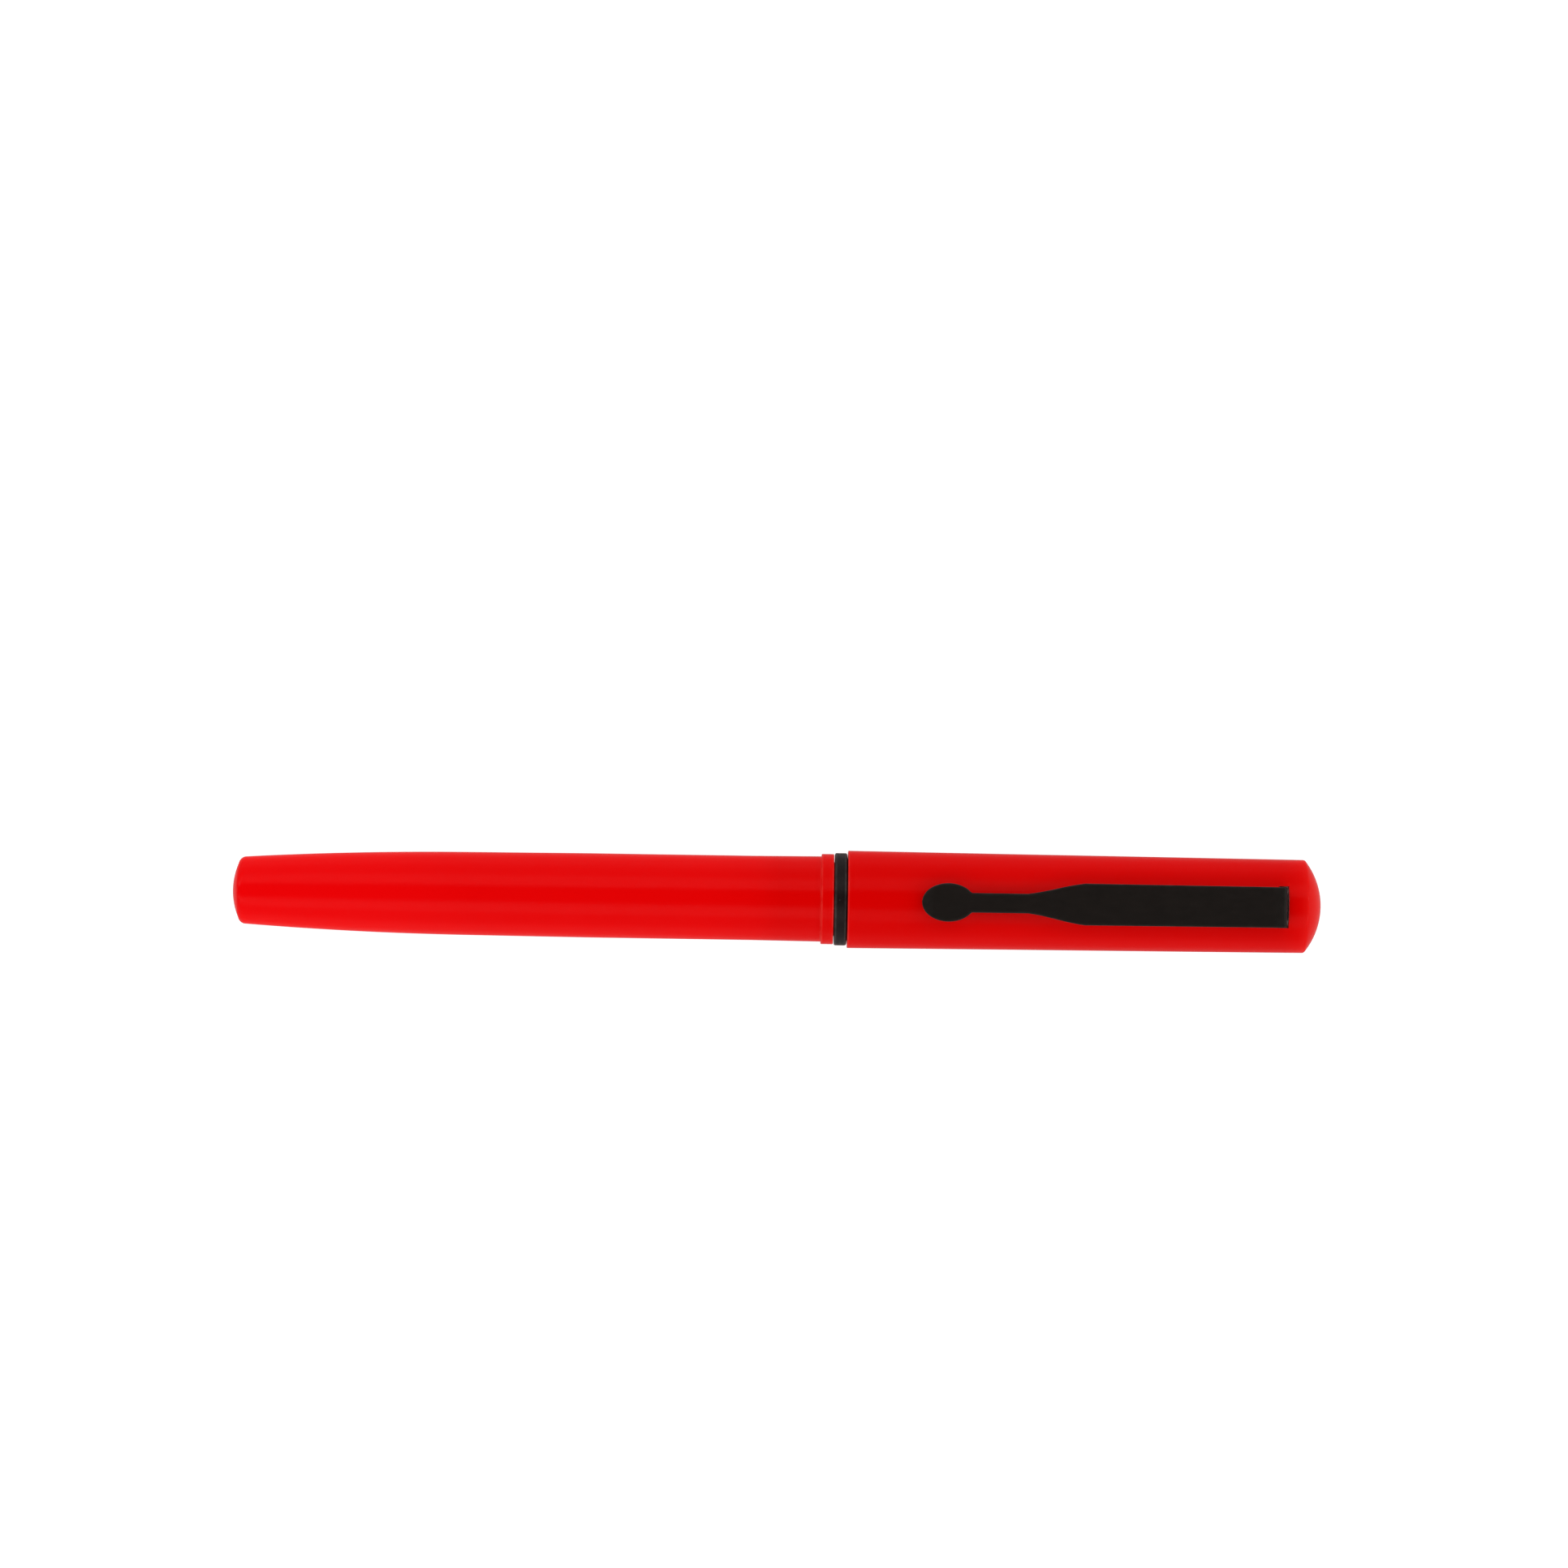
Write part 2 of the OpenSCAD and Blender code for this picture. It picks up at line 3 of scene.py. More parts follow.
import bmesh
import bpy
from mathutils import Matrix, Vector


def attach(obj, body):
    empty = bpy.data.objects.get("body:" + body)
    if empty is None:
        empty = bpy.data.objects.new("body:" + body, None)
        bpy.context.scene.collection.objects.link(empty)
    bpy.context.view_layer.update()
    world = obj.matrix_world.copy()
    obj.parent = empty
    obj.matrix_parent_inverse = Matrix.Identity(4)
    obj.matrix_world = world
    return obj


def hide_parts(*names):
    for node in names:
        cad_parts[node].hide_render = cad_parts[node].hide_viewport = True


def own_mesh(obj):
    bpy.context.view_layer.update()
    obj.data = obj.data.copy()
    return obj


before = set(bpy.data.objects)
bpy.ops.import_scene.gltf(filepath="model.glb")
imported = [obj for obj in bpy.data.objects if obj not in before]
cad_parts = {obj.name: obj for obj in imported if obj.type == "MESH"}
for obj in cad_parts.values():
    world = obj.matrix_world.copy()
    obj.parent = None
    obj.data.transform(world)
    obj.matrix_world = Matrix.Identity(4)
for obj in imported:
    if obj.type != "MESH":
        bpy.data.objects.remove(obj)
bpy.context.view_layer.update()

MM = 0.001
CAPPED_LEN = 134.0
AXIS_HEIGHT = 6.0
SEGMENTS = 160
FILLET_STEPS, FILLET_REACH = 5, 0.45
TAPER_STEPS = 24
SHARP_ANGLE = math.radians(35)

# Barrel
BARREL_LEN, BARREL_R, STRAIGHT_FROM, STRAIGHT_TO = 74.0, 5.2, 44.0, 64.0
TAPER_R, TAPER_AT, TAPER_CURVE_R = 5.12, 28.5, 440.0
TAIL_DOME_R, TAIL_EDGE_R, TAIL_EDGE_AT = 8.6, 0.9, 1.6
MOUTH_R, MOUTH_AT, LIP_R = 5.26, 72.45, 5.56
TAIL_WALL, SPRING_BORE_R, SPRING_BORE_AT, BARREL_BORE_R = 3.2, 3.0, 12.0, 3.75
THREAD_BORE_R, THREAD_BORE_AT, FRONT_BORE_R, FRONT_BORE_AT = 4.46, 63.6, 4.2, 62.6
THREAD_ENTRY_AT, THREAD_ENTRY_LEN = 72.9, 0.15
# Screw thread
PITCH, ROOT_R, RIDGE_HEIGHT, THREAD_GAP = 1.5, 4.0, 0.38, 0.08
MALE_AT, MALE_TURNS, FEMALE_AT, FEMALE_TURNS = 66.0, 4.0, 68.25, 2.75
RIDGE_ROOT_W, RIDGE_CREST_W, RIDGE_SUNK, RIDGE_STEPS = 0.8, 0.35, 0.12, 72
RIDGE_WEAR = 0.3
# Collar ring and section
RING_R, RING_BORE_R, RING_AT, RING_LEN = 5.69, 4.6, 74.09, 1.54
SHANK_END, SHANK_BEVEL, SEAT_R, SEAT_AT, SEAT_CONE_LEN = 64.6, 0.3, 4.55, 73.2, 0.4
NECK_AT, NECK_R, RIB_LEN = 75.66, 5.14, 0.24
RIB_AT, RIB_R, GRIP_AT, GRIP_BACK_R = 77.25, 5.28, 77.96, 5.1
GRIP_FRONT_R, GRIP_FRONT_AT, GRIP_SWELL = 3.92, 107.8, 0.045
REFILL_BORE_R, SOCKET_R, SOCKET_AT, BEVEL = 3.05, 3.45, 103.8, 0.12
# Nose cone and writing point
NOSE_AT, NOSE_BACK_R, NOSE_FRONT_R, NOSE_FRONT_AT = 107.85, 3.69, 2.12, 118.95
SPIGOT_R, SPIGOT_AT, STOP_AT, STOP_LEN = 3.44, 104.0, 104.9, 1.6
NECK_BORE_R, NECK_BORE_END_AT, POINT_BORE_R, POINT_BORE_AT = 1.7, 113.2, 1.28, 113.6
POINT_R, POINT_AT, POINT_CONE_AT, SHANK_R, SHANK_AT = 1.218, 112.61, 120.3, 1.05, 109.4
WAIST_R, WAIST_AT, WAIST_STEP, WAIST_BACK, WAIST_FRONT = 0.708, 121.67, 0.03, 0.05, 0.06
POINT_LIP_R, POINT_LIP_LEN = 0.41, 0.1
BALL_AT, BALL_SEAT_R, BALL_MOUTH_R, POINT_FACE_R = 122.85, 0.365, 0.33, 0.36
GROOVE_FROM, GROOVE_TO, GROOVE_DEPTH, GROOVE_SIDE = 117.4, 117.6, 0.03, 0.04
INK_CHANNEL_R, FEED_CHANNEL_R, CHANNEL_CONE_LEN = 0.5, 0.18, 0.5
# Spring
WIRE_R, SPRING_R, SPRING_TURNS, CLOSED_TURNS = 0.225, 2.55, 10, 1.25
SPRING_FROM, SPRING_TO, SPRING_KEEP = 3.425, 24.875, 0.9315
COIL_STEPS, WIRE_SIDES = 48, 14
# Cap and its liner
CAP_MOUTH_AT, CAP_MOUTH_R, CAP_END_R = 75.7, 6.0, 5.74
CAP_DOME_R, CAP_EDGE_R, CAP_BORE_R, LINER_SEAT_R, CROWN_AT = 9.05, 0.4, 5.42, 4.75, 131.6
CAP_BEVEL, CAP_BEND_R, CAP_BEND_AT, CAP_FAR_BEND_R, CAP_FAR_BEND_AT = 0.12, 5.9, 96.0, 5.84, 110.45
CAP_BORE_CONE_AT, LINER_SEAT_AT, CAP_MOUTH_EDGE_R = 80.0, 112.0, 0.14
SNAP_R, SNAP_AT, SNAP_SLOPE, SNAP_TOP = 5.31, 76.05, 0.25, 0.3
GATE_R, GATE_DEPTH, GATE_EDGE_R = 0.42, 0.14, 0.04
SLOT_FROM, SLOT_TO, SLOT_HALF, SLOT_FLOOR = 128.4, 129.6, 2.56, 3.55
LINER_MOUTH_R, LINER_MOUTH_AT, LINER_SLEEVE_R, LINER_R = 3.85, 108.3, 4.3, 4.74
LINER_PLUG_AT, LINER_PLUG_CONE_LEN, LINER_END_AT = 118.0, 0.5, 131.59
LINER_NOSE_R, LINER_NOSE_END_AT, LINER_TIP_R, LINER_TIP_AT, LINER_TIP_BEVEL = 2.45, 119.55, 1.6, 124.6, 0.6
TAB_ROOM, TAB_ROOM_FROM, TAB_ROOM_FLOOR, TAB_ROOM_TOP = 0.2, 125.3, 3.35, 5.75
# Clip
STRIP_T, STRIP_UNDER, FOLD_AT, FOLD_R, LEG_FOOT = 0.7, 6.8, 129.2, 0.5, 4.75
STEM_W, PLATE_W, PLATE_END_W, HEAD_W, HEAD_FRONT, HEAD_LEN = 2.4, 5.1, 4.96, 4.7, 84.7, 6.5
SWELL_FROM, SWELL_TO, SWELL_EASE, HEAD_RISE, HEAD_RISE_LEN = 97.6, 104.6, 0.4, 0.35, 1.6
# The second value sets how much lighter the clip's paint is at its bend: a painted highlight.
CLIP_EDGE_R, BEND_HIGHLIGHT = 0.16, 0.2
DIMPLE_R, DIMPLE_GAP, DIMPLE_SUNK, DIMPLE_RINGS, DIMPLE_SEGMENTS = 1.9, 0.03, 0.1, 8, 32
DIMPLE_WEAR, DIMPLE_WORN_RINGS = 0.6, 3
TAB_W, TAB_LEN, TAB_TOP, TAB_T, TAB_OVERLAP = 3.0, 3.0, 4.15, 0.6, 0.05


# ---------------------------------------------------------------- outlines and meshes


def polar(radius, station, angle):
    """Point in metres at an angle around the pen's axis, from straight down towards +Y."""
    y = radius * math.sin(angle)
    z = AXIS_HEIGHT - radius * math.cos(angle)
    return ((station - CAPPED_LEN / 2) * MM, y * MM, z * MM)


def between(a, b, share):
    return a + (b - a) * share


def share_of(value, low, high):
    return min(max((value - low) / (high - low), 0), 1)


def arc(centre_r, centre_at, radius, from_deg, to_deg, steps):
    """Corners along an arc in (radius, station, fillet)."""
    angles = [math.radians(between(from_deg, to_deg, i / steps)) for i in range(steps + 1)]
    return [(centre_r + radius * math.cos(a), centre_at + radius * math.sin(a), 0) for a in angles]


def rounded(corners):
    """Rounds each corner (radius, station, fillet) and returns points (radius, station, edge share)."""
    points = []
    for i, (r, s, fillet) in enumerate(corners):
        if fillet == 0:
            points.append((r, s, 0.0))
            continue
        here = Vector((r, s))
        back = Vector(corners[i - 1][:2]) - here
        ahead = Vector(corners[(i + 1) % len(corners)][:2]) - here
        half = back.angle(ahead) / 2
        reach = min(fillet / math.tan(half), FILLET_REACH * back.length, FILLET_REACH * ahead.length)
        back.normalize()
        ahead.normalize()
        centre = here + (back + ahead).normalized() * (reach / math.cos(half))
        start, end = here + back * reach - centre, here + ahead * reach - centre
        radius = start.length
        for k in range(FILLET_STEPS + 1):
            p = centre + start.slerp(end, k / FILLET_STEPS).normalized() * radius
            points.append((p.x, p.y, 1.0))
    return points


def refined(points, longest=2.5, margin=0.12):
    """Adds points along long stretches, and close to each rounded edge, so that edges stay crisp."""
    result = []
    for i, here in enumerate(points):
        ahead = points[(i + 1) % len(points)]
        result.append(here)
        length = math.dist(here[:2], ahead[:2])
        if length < 2.5 * margin or max(here[0], ahead[0]) == 0:
            continue
        count = max(1, math.ceil((length - 2 * margin) / longest))
        ends = [margin / length, 1 - margin / length]
        for share in [between(ends[0], ends[1], k / count) for k in range(count + 1)]:
            result.append((between(here[0], ahead[0], share), between(here[1], ahead[1], share), 0.0))
    return result


def finish_mesh(name, bm, edge_values):
    """Makes an object from a bmesh, with smooth shading, sharp corners and the edge attribute."""
    bmesh.ops.recalc_face_normals(bm, faces=bm.faces)
    mesh = bpy.data.meshes.new(name)
    bm.to_mesh(mesh)
    bm.free()
    for polygon in mesh.polygons:
        polygon.use_smooth = True
    mesh.set_sharp_from_angle(angle=SHARP_ANGLE)
    if edge_values:
        attribute = mesh.attributes.new("edge", "FLOAT", "POINT")
        attribute.data.foreach_set("value", edge_values)
    piece = bpy.data.objects.new(name, mesh)
    bpy.context.scene.collection.objects.link(piece)
    return piece


def add_rows(bm, rows, closed):
    """Faces between neighbouring rows of vertices; a row of one vertex is a pole."""
    count = len(rows)
    for i in range(count if closed else count - 1):
        a, b = rows[i], rows[(i + 1) % count]
        size = max(len(a), len(b))
        if size == 1:
            continue
        for j in range(size):
            k = (j + 1) % size
            corners = [a[j % len(a)], a[k % len(a)], b[k % len(b)], b[j % len(b)]]
            unique = list(dict.fromkeys(corners))
            if len(unique) > 2:
                bm.faces.new(unique)


def add_turned(bm, points, edge_values, segments=SEGMENTS):
    """Surface of revolution of a closed outline of (radius, station, edge share)."""
    rows = []
    for r, s, edge in points:
        steps = 1 if r < 1e-6 else segments
        angles = [2 * math.pi * j / segments for j in range(steps)]
        rows.append([bm.verts.new(polar(r, s, a)) for a in angles])
        edge_values.extend([edge] * steps)
    add_rows(bm, rows, closed=True)


def add_ridge(bm, edge_values, root_r, crest_r, start_at, turns):
    """Right-handed screw ridge with a narrowed crest that rises out of its root and fades again."""
    out = math.copysign(1, crest_r - root_r)
    sunk_r, faded_r = root_r - out * RIDGE_SUNK, root_r - out * RIDGE_SUNK / 2
    last, fade = int(turns * RIDGE_STEPS), RIDGE_STEPS / 4
    shape = [(0.0, -RIDGE_ROOT_W), (0.8, -RIDGE_CREST_W * 1.2), (1.0, -RIDGE_CREST_W * 0.6)]
    shape += [(share, -width) for share, width in reversed(shape)]
    rows = []
    for i in range(last + 1):
        top_r = between(faded_r, crest_r, min(1, i / fade, (last - i) / fade))
        centre, angle = start_at + PITCH * i / RIDGE_STEPS, 2 * math.pi * i / RIDGE_STEPS
        ring = [polar(between(sunk_r, top_r, share), centre + width / 2, angle) for share, width in shape]
        rows.append([bm.verts.new(p) for p in ring])
        edge_values.extend([RIDGE_WEAR * share for share, _ in shape])
    add_rows(bm, rows, closed=False)
    bm.faces.new(rows[0])
    bm.faces.new(rows[-1])


def turned(name, corners, segments=SEGMENTS):
    """Object turned about the pen's axis from corners (radius, station, fillet)."""
    bm, edge_values = bmesh.new(), []
    add_turned(bm, refined(rounded(corners)), edge_values, segments)
    return finish_mesh(name, bm, edge_values)


def cut_box(piece, low, high):
    """Cuts a box, given by corners (station, across, height over the axis), out of a piece."""
    bm = bmesh.new()
    bmesh.ops.create_cube(bm, size=1.0)
    for v in bm.verts:
        corner = [between(low[i], high[i], v.co[i] + 0.5) for i in range(3)]
        v.co = ((corner[0] - CAPPED_LEN / 2) * MM, corner[1] * MM, (corner[2] + AXIS_HEIGHT) * MM)
    cutter = finish_mesh("cutter", bm, None)
    modifier = piece.modifiers.new("cut", "BOOLEAN")
    modifier.operation, modifier.solver, modifier.object = "DIFFERENCE", "EXACT", cutter
    bpy.context.view_layer.update()
    evaluated = piece.evaluated_get(bpy.context.evaluated_depsgraph_get())
    cut = bpy.data.meshes.new_from_object(evaluated)
    piece.modifiers.clear()
    piece.data = cut
    cut.set_sharp_from_angle(angle=SHARP_ANGLE)
    bpy.data.objects.remove(cutter)


# ---------------------------------------------------------------- material building blocks


def node(tree, kind, inputs=None, **settings):
    made = tree.nodes.new(kind)
    for key, value in settings.items():
        setattr(made, key, value)
    for key, value in (inputs or {}).items():
        if hasattr(value, "is_linked"):
            tree.links.new(value, made.inputs[key])
        else:
            made.inputs[key].default_value = value
    return made


def place(tree, stretch=(1, 1, 1)):
    """Coordinates on the piece itself, in metres, stretched before a texture reads them."""
    coordinates = node(tree, "ShaderNodeTexCoord").outputs["Object"]
    return node(tree, "ShaderNodeMapping", {"Vector": coordinates, "Scale": stretch}).outputs[0]


def noise(tree, size_mm, stretch=(1, 1, 1), detail=3.0, roughness=0.55):
    """Noise from 0 to 1 whose features are about size_mm across."""
    inputs = {"Vector": place(tree, stretch), "Scale": 1 / (size_mm * MM)}
    inputs.update({"Detail": detail, "Roughness": roughness})
    return node(tree, "ShaderNodeTexNoise", inputs).outputs["Fac"]


def spots(tree, spacing_mm, stretch=(1, 1, 1)):
    """Distance from the nearest of scattered points, in spacings."""
    inputs = {"Vector": place(tree, stretch), "Scale": 1 / (spacing_mm * MM), "Randomness": 1.0}
    return node(tree, "ShaderNodeTexVoronoi", inputs).outputs["Distance"]


def remap(tree, value, low, high, to_low=0.0, to_high=1.0, smooth=False):
    inputs = {"Value": value, "From Min": low, "From Max": high, "To Min": to_low, "To Max": to_high}
    kind = "SMOOTHSTEP" if smooth else "LINEAR"
    return node(tree, "ShaderNodeMapRange", inputs, interpolation_type=kind).outputs["Result"]


def maths(tree, operation, a, b):
    return node(tree, "ShaderNodeMath", {0: a, 1: b}, operation=operation).outputs[0]


def mixed(tree, share, a, b):
    """Colour between a and b."""
    made = node(tree, "ShaderNodeMix", data_type="RGBA")
    for index, value in ((0, share), (6, a), (7, b)):
        if hasattr(value, "is_linked"):
            tree.links.new(value, made.inputs[index])
        else:
            made.inputs[index].default_value = value if index == 0 else (*value, 1.0)
    return made.outputs[2]


def edges(tree):
    """Share of a rounded edge at this point, from 0 to 1, broken up by noise; the lighter colour mixed in
    with it is a painted edge highlight, and on the clip's boss and thread crests wear.
    """
    edge = node(tree, "ShaderNodeAttribute", attribute_name="edge").outputs["Fac"]
    return maths(tree, "MULTIPLY", edge, remap(tree, noise(tree, 1.3), 0.25, 0.75))


def bumped(tree, height, strength, distance_mm, normal=None):
    inputs = {"Height": height, "Strength": strength, "Distance": distance_mm * MM}
    if normal is not None:
        inputs["Normal"] = normal
    return node(tree, "ShaderNodeBump", inputs).outputs["Normal"]


def new_material(name, **constants):
    material = bpy.data.materials.new(name)
    material.use_nodes = True
    shader = material.node_tree.nodes["Principled BSDF"]
    for key, value in constants.items():
        shader.inputs[key.replace("_", " ")].default_value = value
    return material, material.node_tree, shader


def wire(tree, shader, **sockets):
    for key, socket in sockets.items():
        tree.links.new(socket, shader.inputs[key.replace("_", " ")])


# ---------------------------------------------------------------- materials


def along_pen(tree, stops):
    """Colour along the pen from stops of (station, colour)."""
    x = node(tree, "ShaderNodeSeparateXYZ", {"Vector": place(tree)}).outputs["X"]
    half = CAPPED_LEN / 2 * MM
    ramp = node(tree, "ShaderNodeValToRGB", {"Fac": remap(tree, x, -half, half)})
    elements = ramp.color_ramp.elements
    for i, (station, colour) in enumerate(stops):
        element = elements[i] if i < 2 else elements.new(1.0)
        element.position = station / CAPPED_LEN
        element.color = (*colour, 1.0)
    return ramp.outputs["Color"]


def red_plastic(name, stops, rim, shine):
    """Gloss moulded plastic: its colour deepens along the pen, with faint flow marks and tiny specks, and a
    lighter rim colour on rounded edges that is a painted edge highlight.
    """
    material, tree, shader = new_material(name, Specular_IOR_Level=shine, IOR=1.5)
    colour = along_pen(tree, stops)
    cloud = remap(tree, noise(tree, 7.0, (0.35, 1, 1)), 0.3, 0.7, 0.0, 0.06)
    colour = mixed(tree, cloud, colour, (0.62, 0.0, 0.0))
    speck = remap(tree, spots(tree, 4.5), 0.010, 0.018, 0.4, 0.0)
    colour = mixed(tree, speck, colour, (0.95, 0.12, 0.10))
    # Lighter rim colour on rounded edges: painted edge highlight, broken up like wear.
    colour = mixed(tree, maths(tree, "MULTIPLY", edges(tree), 0.25), colour, rim)
    gloss = remap(tree, noise(tree, 1.8, (0.3, 1, 1)), 0.3, 0.7, 0.12, 0.19)
    flow = bumped(tree, noise(tree, 3.0, (0.15, 1, 1)), 0.25, 0.005)
    skin = bumped(tree, noise(tree, 0.12, detail=1.0), 0.12, 0.001, flow)
    wire(tree, shader, Base_Color=colour, Roughness=gloss, Normal=skin)
    return material


def black_plastic(name, dark, light, shine):
    """Satin moulded black plastic with fine handling scratches and a few nicks."""
    material, tree, shader = new_material(name, Specular_IOR_Level=shine)
    dust = remap(tree, noise(tree, 2.2, (0.5, 1, 1), 5.0), 0.35, 0.75, 0.0, 1.0)
    colour = mixed(tree, dust, dark, light)
    nick = remap(tree, spots(tree, 1.4, (0.6, 1, 1)), 0.02, 0.05, 1.0, 0.0)
    colour = mixed(tree, maths(tree, "MULTIPLY", nick, 0.6), colour, (0.055, 0.052, 0.050))
    # Lighter colour on rounded edges: painted edge highlight, broken up like wear.
    colour = mixed(tree, maths(tree, "MULTIPLY", edges(tree), 0.6), colour, (0.06, 0.055, 0.05))
    gloss = remap(tree, noise(tree, 0.7, (2.5, 1, 1)), 0.3, 0.7, 0.30, 0.46)
    rings = bumped(tree, noise(tree, 0.25, (3.0, 0.3, 0.3)), 0.25, 0.006)
    scratch = bumped(tree, nick, 0.3, 0.01, rings)
    wire(tree, shader, Base_Color=colour, Roughness=gloss, Normal=scratch)
    return material


def clip_paint():
    """Satin black paint on folded strip, lighter along its edges and at its bend: a painted highlight, broken
    up like wear.
    """
    material, tree, shader = new_material("black_clip", Specular_IOR_Level=0.09)
    grain = remap(tree, noise(tree, 0.9, (0.4, 1, 1), 5.0), 0.35, 0.7)
    colour = mixed(tree, grain, (0.0040, 0.0026, 0.0018), (0.0060, 0.0040, 0.0030))
    # Lighter paint on the strip's rounded edges and at its bend: painted highlight.
    colour = mixed(tree, maths(tree, "MULTIPLY", edges(tree), 0.4), colour, (0.050, 0.045, 0.041))
    gloss = remap(tree, noise(tree, 0.5), 0.3, 0.7, 0.42, 0.56)
    orange_peel = bumped(tree, noise(tree, 0.22, detail=2.0), 0.35, 0.006)
    wire(tree, shader, Base_Color=colour, Roughness=gloss, Normal=orange_peel)
    return material


def turned_metal(name, dark, light, ring_mm, rough):
    """Bright metal with the fine rings that a lathe leaves, and a few dull specks."""
    material, tree, shader = new_material(name, Metallic=1.0)
    rings = noise(tree, ring_mm, (1.0, 0.02, 0.02), 4.0, 0.7)
    colour = mixed(tree, remap(tree, rings, 0.3, 0.7), dark, light)
    stain = remap(tree, noise(tree, 0.5, detail=4.0), 0.5, 0.8, 0.0, 0.5)
    colour = mixed(tree, stain, colour, tuple(0.6 * c for c in dark))
    gloss = remap(tree, noise(tree, ring_mm * 3, (1.0, 0.1, 0.1)), 0.3, 0.7, rough, rough + 0.16)
    normal = bumped(tree, rings, 0.35, 0.008)
    wire(tree, shader, Base_Color=colour, Roughness=gloss, Normal=normal)
    return material


def drawn_metal(name, dark, light):
    """Satin metal with long drawing lines, for the refill's tube and the spring."""
    material, tree, shader = new_material(name, Metallic=1.0)
    lines = noise(tree, 0.12, (0.03, 1, 1), 4.0)
    colour = mixed(tree, remap(tree, lines, 0.3, 0.7), dark, light)
    gloss = remap(tree, noise(tree, 1.5), 0.3, 0.7, 0.24, 0.4)
    wire(tree, shader, Base_Color=colour, Roughness=gloss, Normal=bumped(tree, lines, 0.2, 0.004))
    return material


def dull_plastic(name, dark, light, shine):
    """Matte moulded plastic or paste with soft clouds and a faint skin."""
    material, tree, shader = new_material(name, Specular_IOR_Level=0.35)
    cloud = noise(tree, 1.6, detail=4.0)
    colour = mixed(tree, remap(tree, cloud, 0.3, 0.7), dark, light)
    gloss = remap(tree, noise(tree, 0.6), 0.3, 0.7, shine, shine + 0.15)
    skin = bumped(tree, noise(tree, 0.18), 0.3, 0.006)
    wire(tree, shader, Base_Color=colour, Roughness=gloss, Normal=skin)
    return material


def make_materials():
    tail_red, mid_red, front_red = (0.92, 0.0009, 0.0020), (0.84, 0.0008, 0.0014), (0.70, 0.0004, 0.0003)
    barrel_stops = [
        (0.0, tail_red), (134.0, front_red), (18.0, (0.89, 0.0009, 0.0018)), (30.0, mid_red),
        (58.0, (0.82, 0.0006, 0.0010)), (64.5, (0.78, 0.0005, 0.0008)), (67.5, (0.72, 0.0004, 0.0004)),
        (71.0, front_red),
    ]
    # The cap's red turns lighter and pinker over its dome, from station 131 to the crown: a painted
    # highlight.
    cap_stops = [
        (0.0, front_red), (134.0, (0.92, 0.020, 0.016)), (77.0, front_red), (95.0, (0.70, 0.0004, 0.0003)),
        (129.0, (0.68, 0.0004, 0.0003)), (131.0, (0.74, 0.0008, 0.0006)), (132.0, (0.90, 0.0040, 0.0030)),
    ]
    return {
        # The third value of each red is its lighter rim colour for rounded edges: a painted edge highlight.
        "red_barrel": red_plastic("red_barrel", barrel_stops, (0.90, 0.10, 0.08), 0.034),
        "red_cap": red_plastic("red_cap", cap_stops, (0.90, 0.12, 0.10), 0.026),
        "black_gloss": black_plastic("black_gloss", (0.0084, 0.0075, 0.0069), (0.0122, 0.0111, 0.0102), 0.11),
        "black_ring": black_plastic("black_ring", (0.0064, 0.0034, 0.0034), (0.0094, 0.0052, 0.0052), 0.09),
        "black_clip": clip_paint(),
        "nickel_silver": turned_metal("nickel_silver", (0.52, 0.43, 0.32), (0.70, 0.60, 0.47), 0.10, 0.44),
        "ball_carbide": turned_metal("ball_carbide", (0.34, 0.33, 0.32), (0.52, 0.51, 0.50), 0.08, 0.12),
        "steel_tube": drawn_metal("steel_tube", (0.46, 0.46, 0.45), (0.62, 0.62, 0.61)),
        "spring_steel": drawn_metal("spring_steel", (0.40, 0.41, 0.43), (0.58, 0.59, 0.62)),
        "blue_plug": dull_plastic("blue_plug", (0.030, 0.055, 0.30), (0.045, 0.080, 0.38), 0.45),
        "liner_plastic": dull_plastic("liner_plastic", (0.62, 0.61, 0.57), (0.74, 0.73, 0.69), 0.50),
        "ink": dull_plastic("ink", (0.006, 0.009, 0.07), (0.012, 0.018, 0.11), 0.25),
        "grease": dull_plastic("grease", (0.60, 0.59, 0.45), (0.74, 0.73, 0.58), 0.30),
    }


# ---------------------------------------------------------------- pieces


def taper_radius(at):
    draft = (BARREL_R - TAPER_R) / (STRAIGHT_FROM - TAPER_AT)
    return TAPER_R - draft * (TAPER_AT - at) - (TAPER_AT - at) ** 2 / (2 * TAPER_CURVE_R)


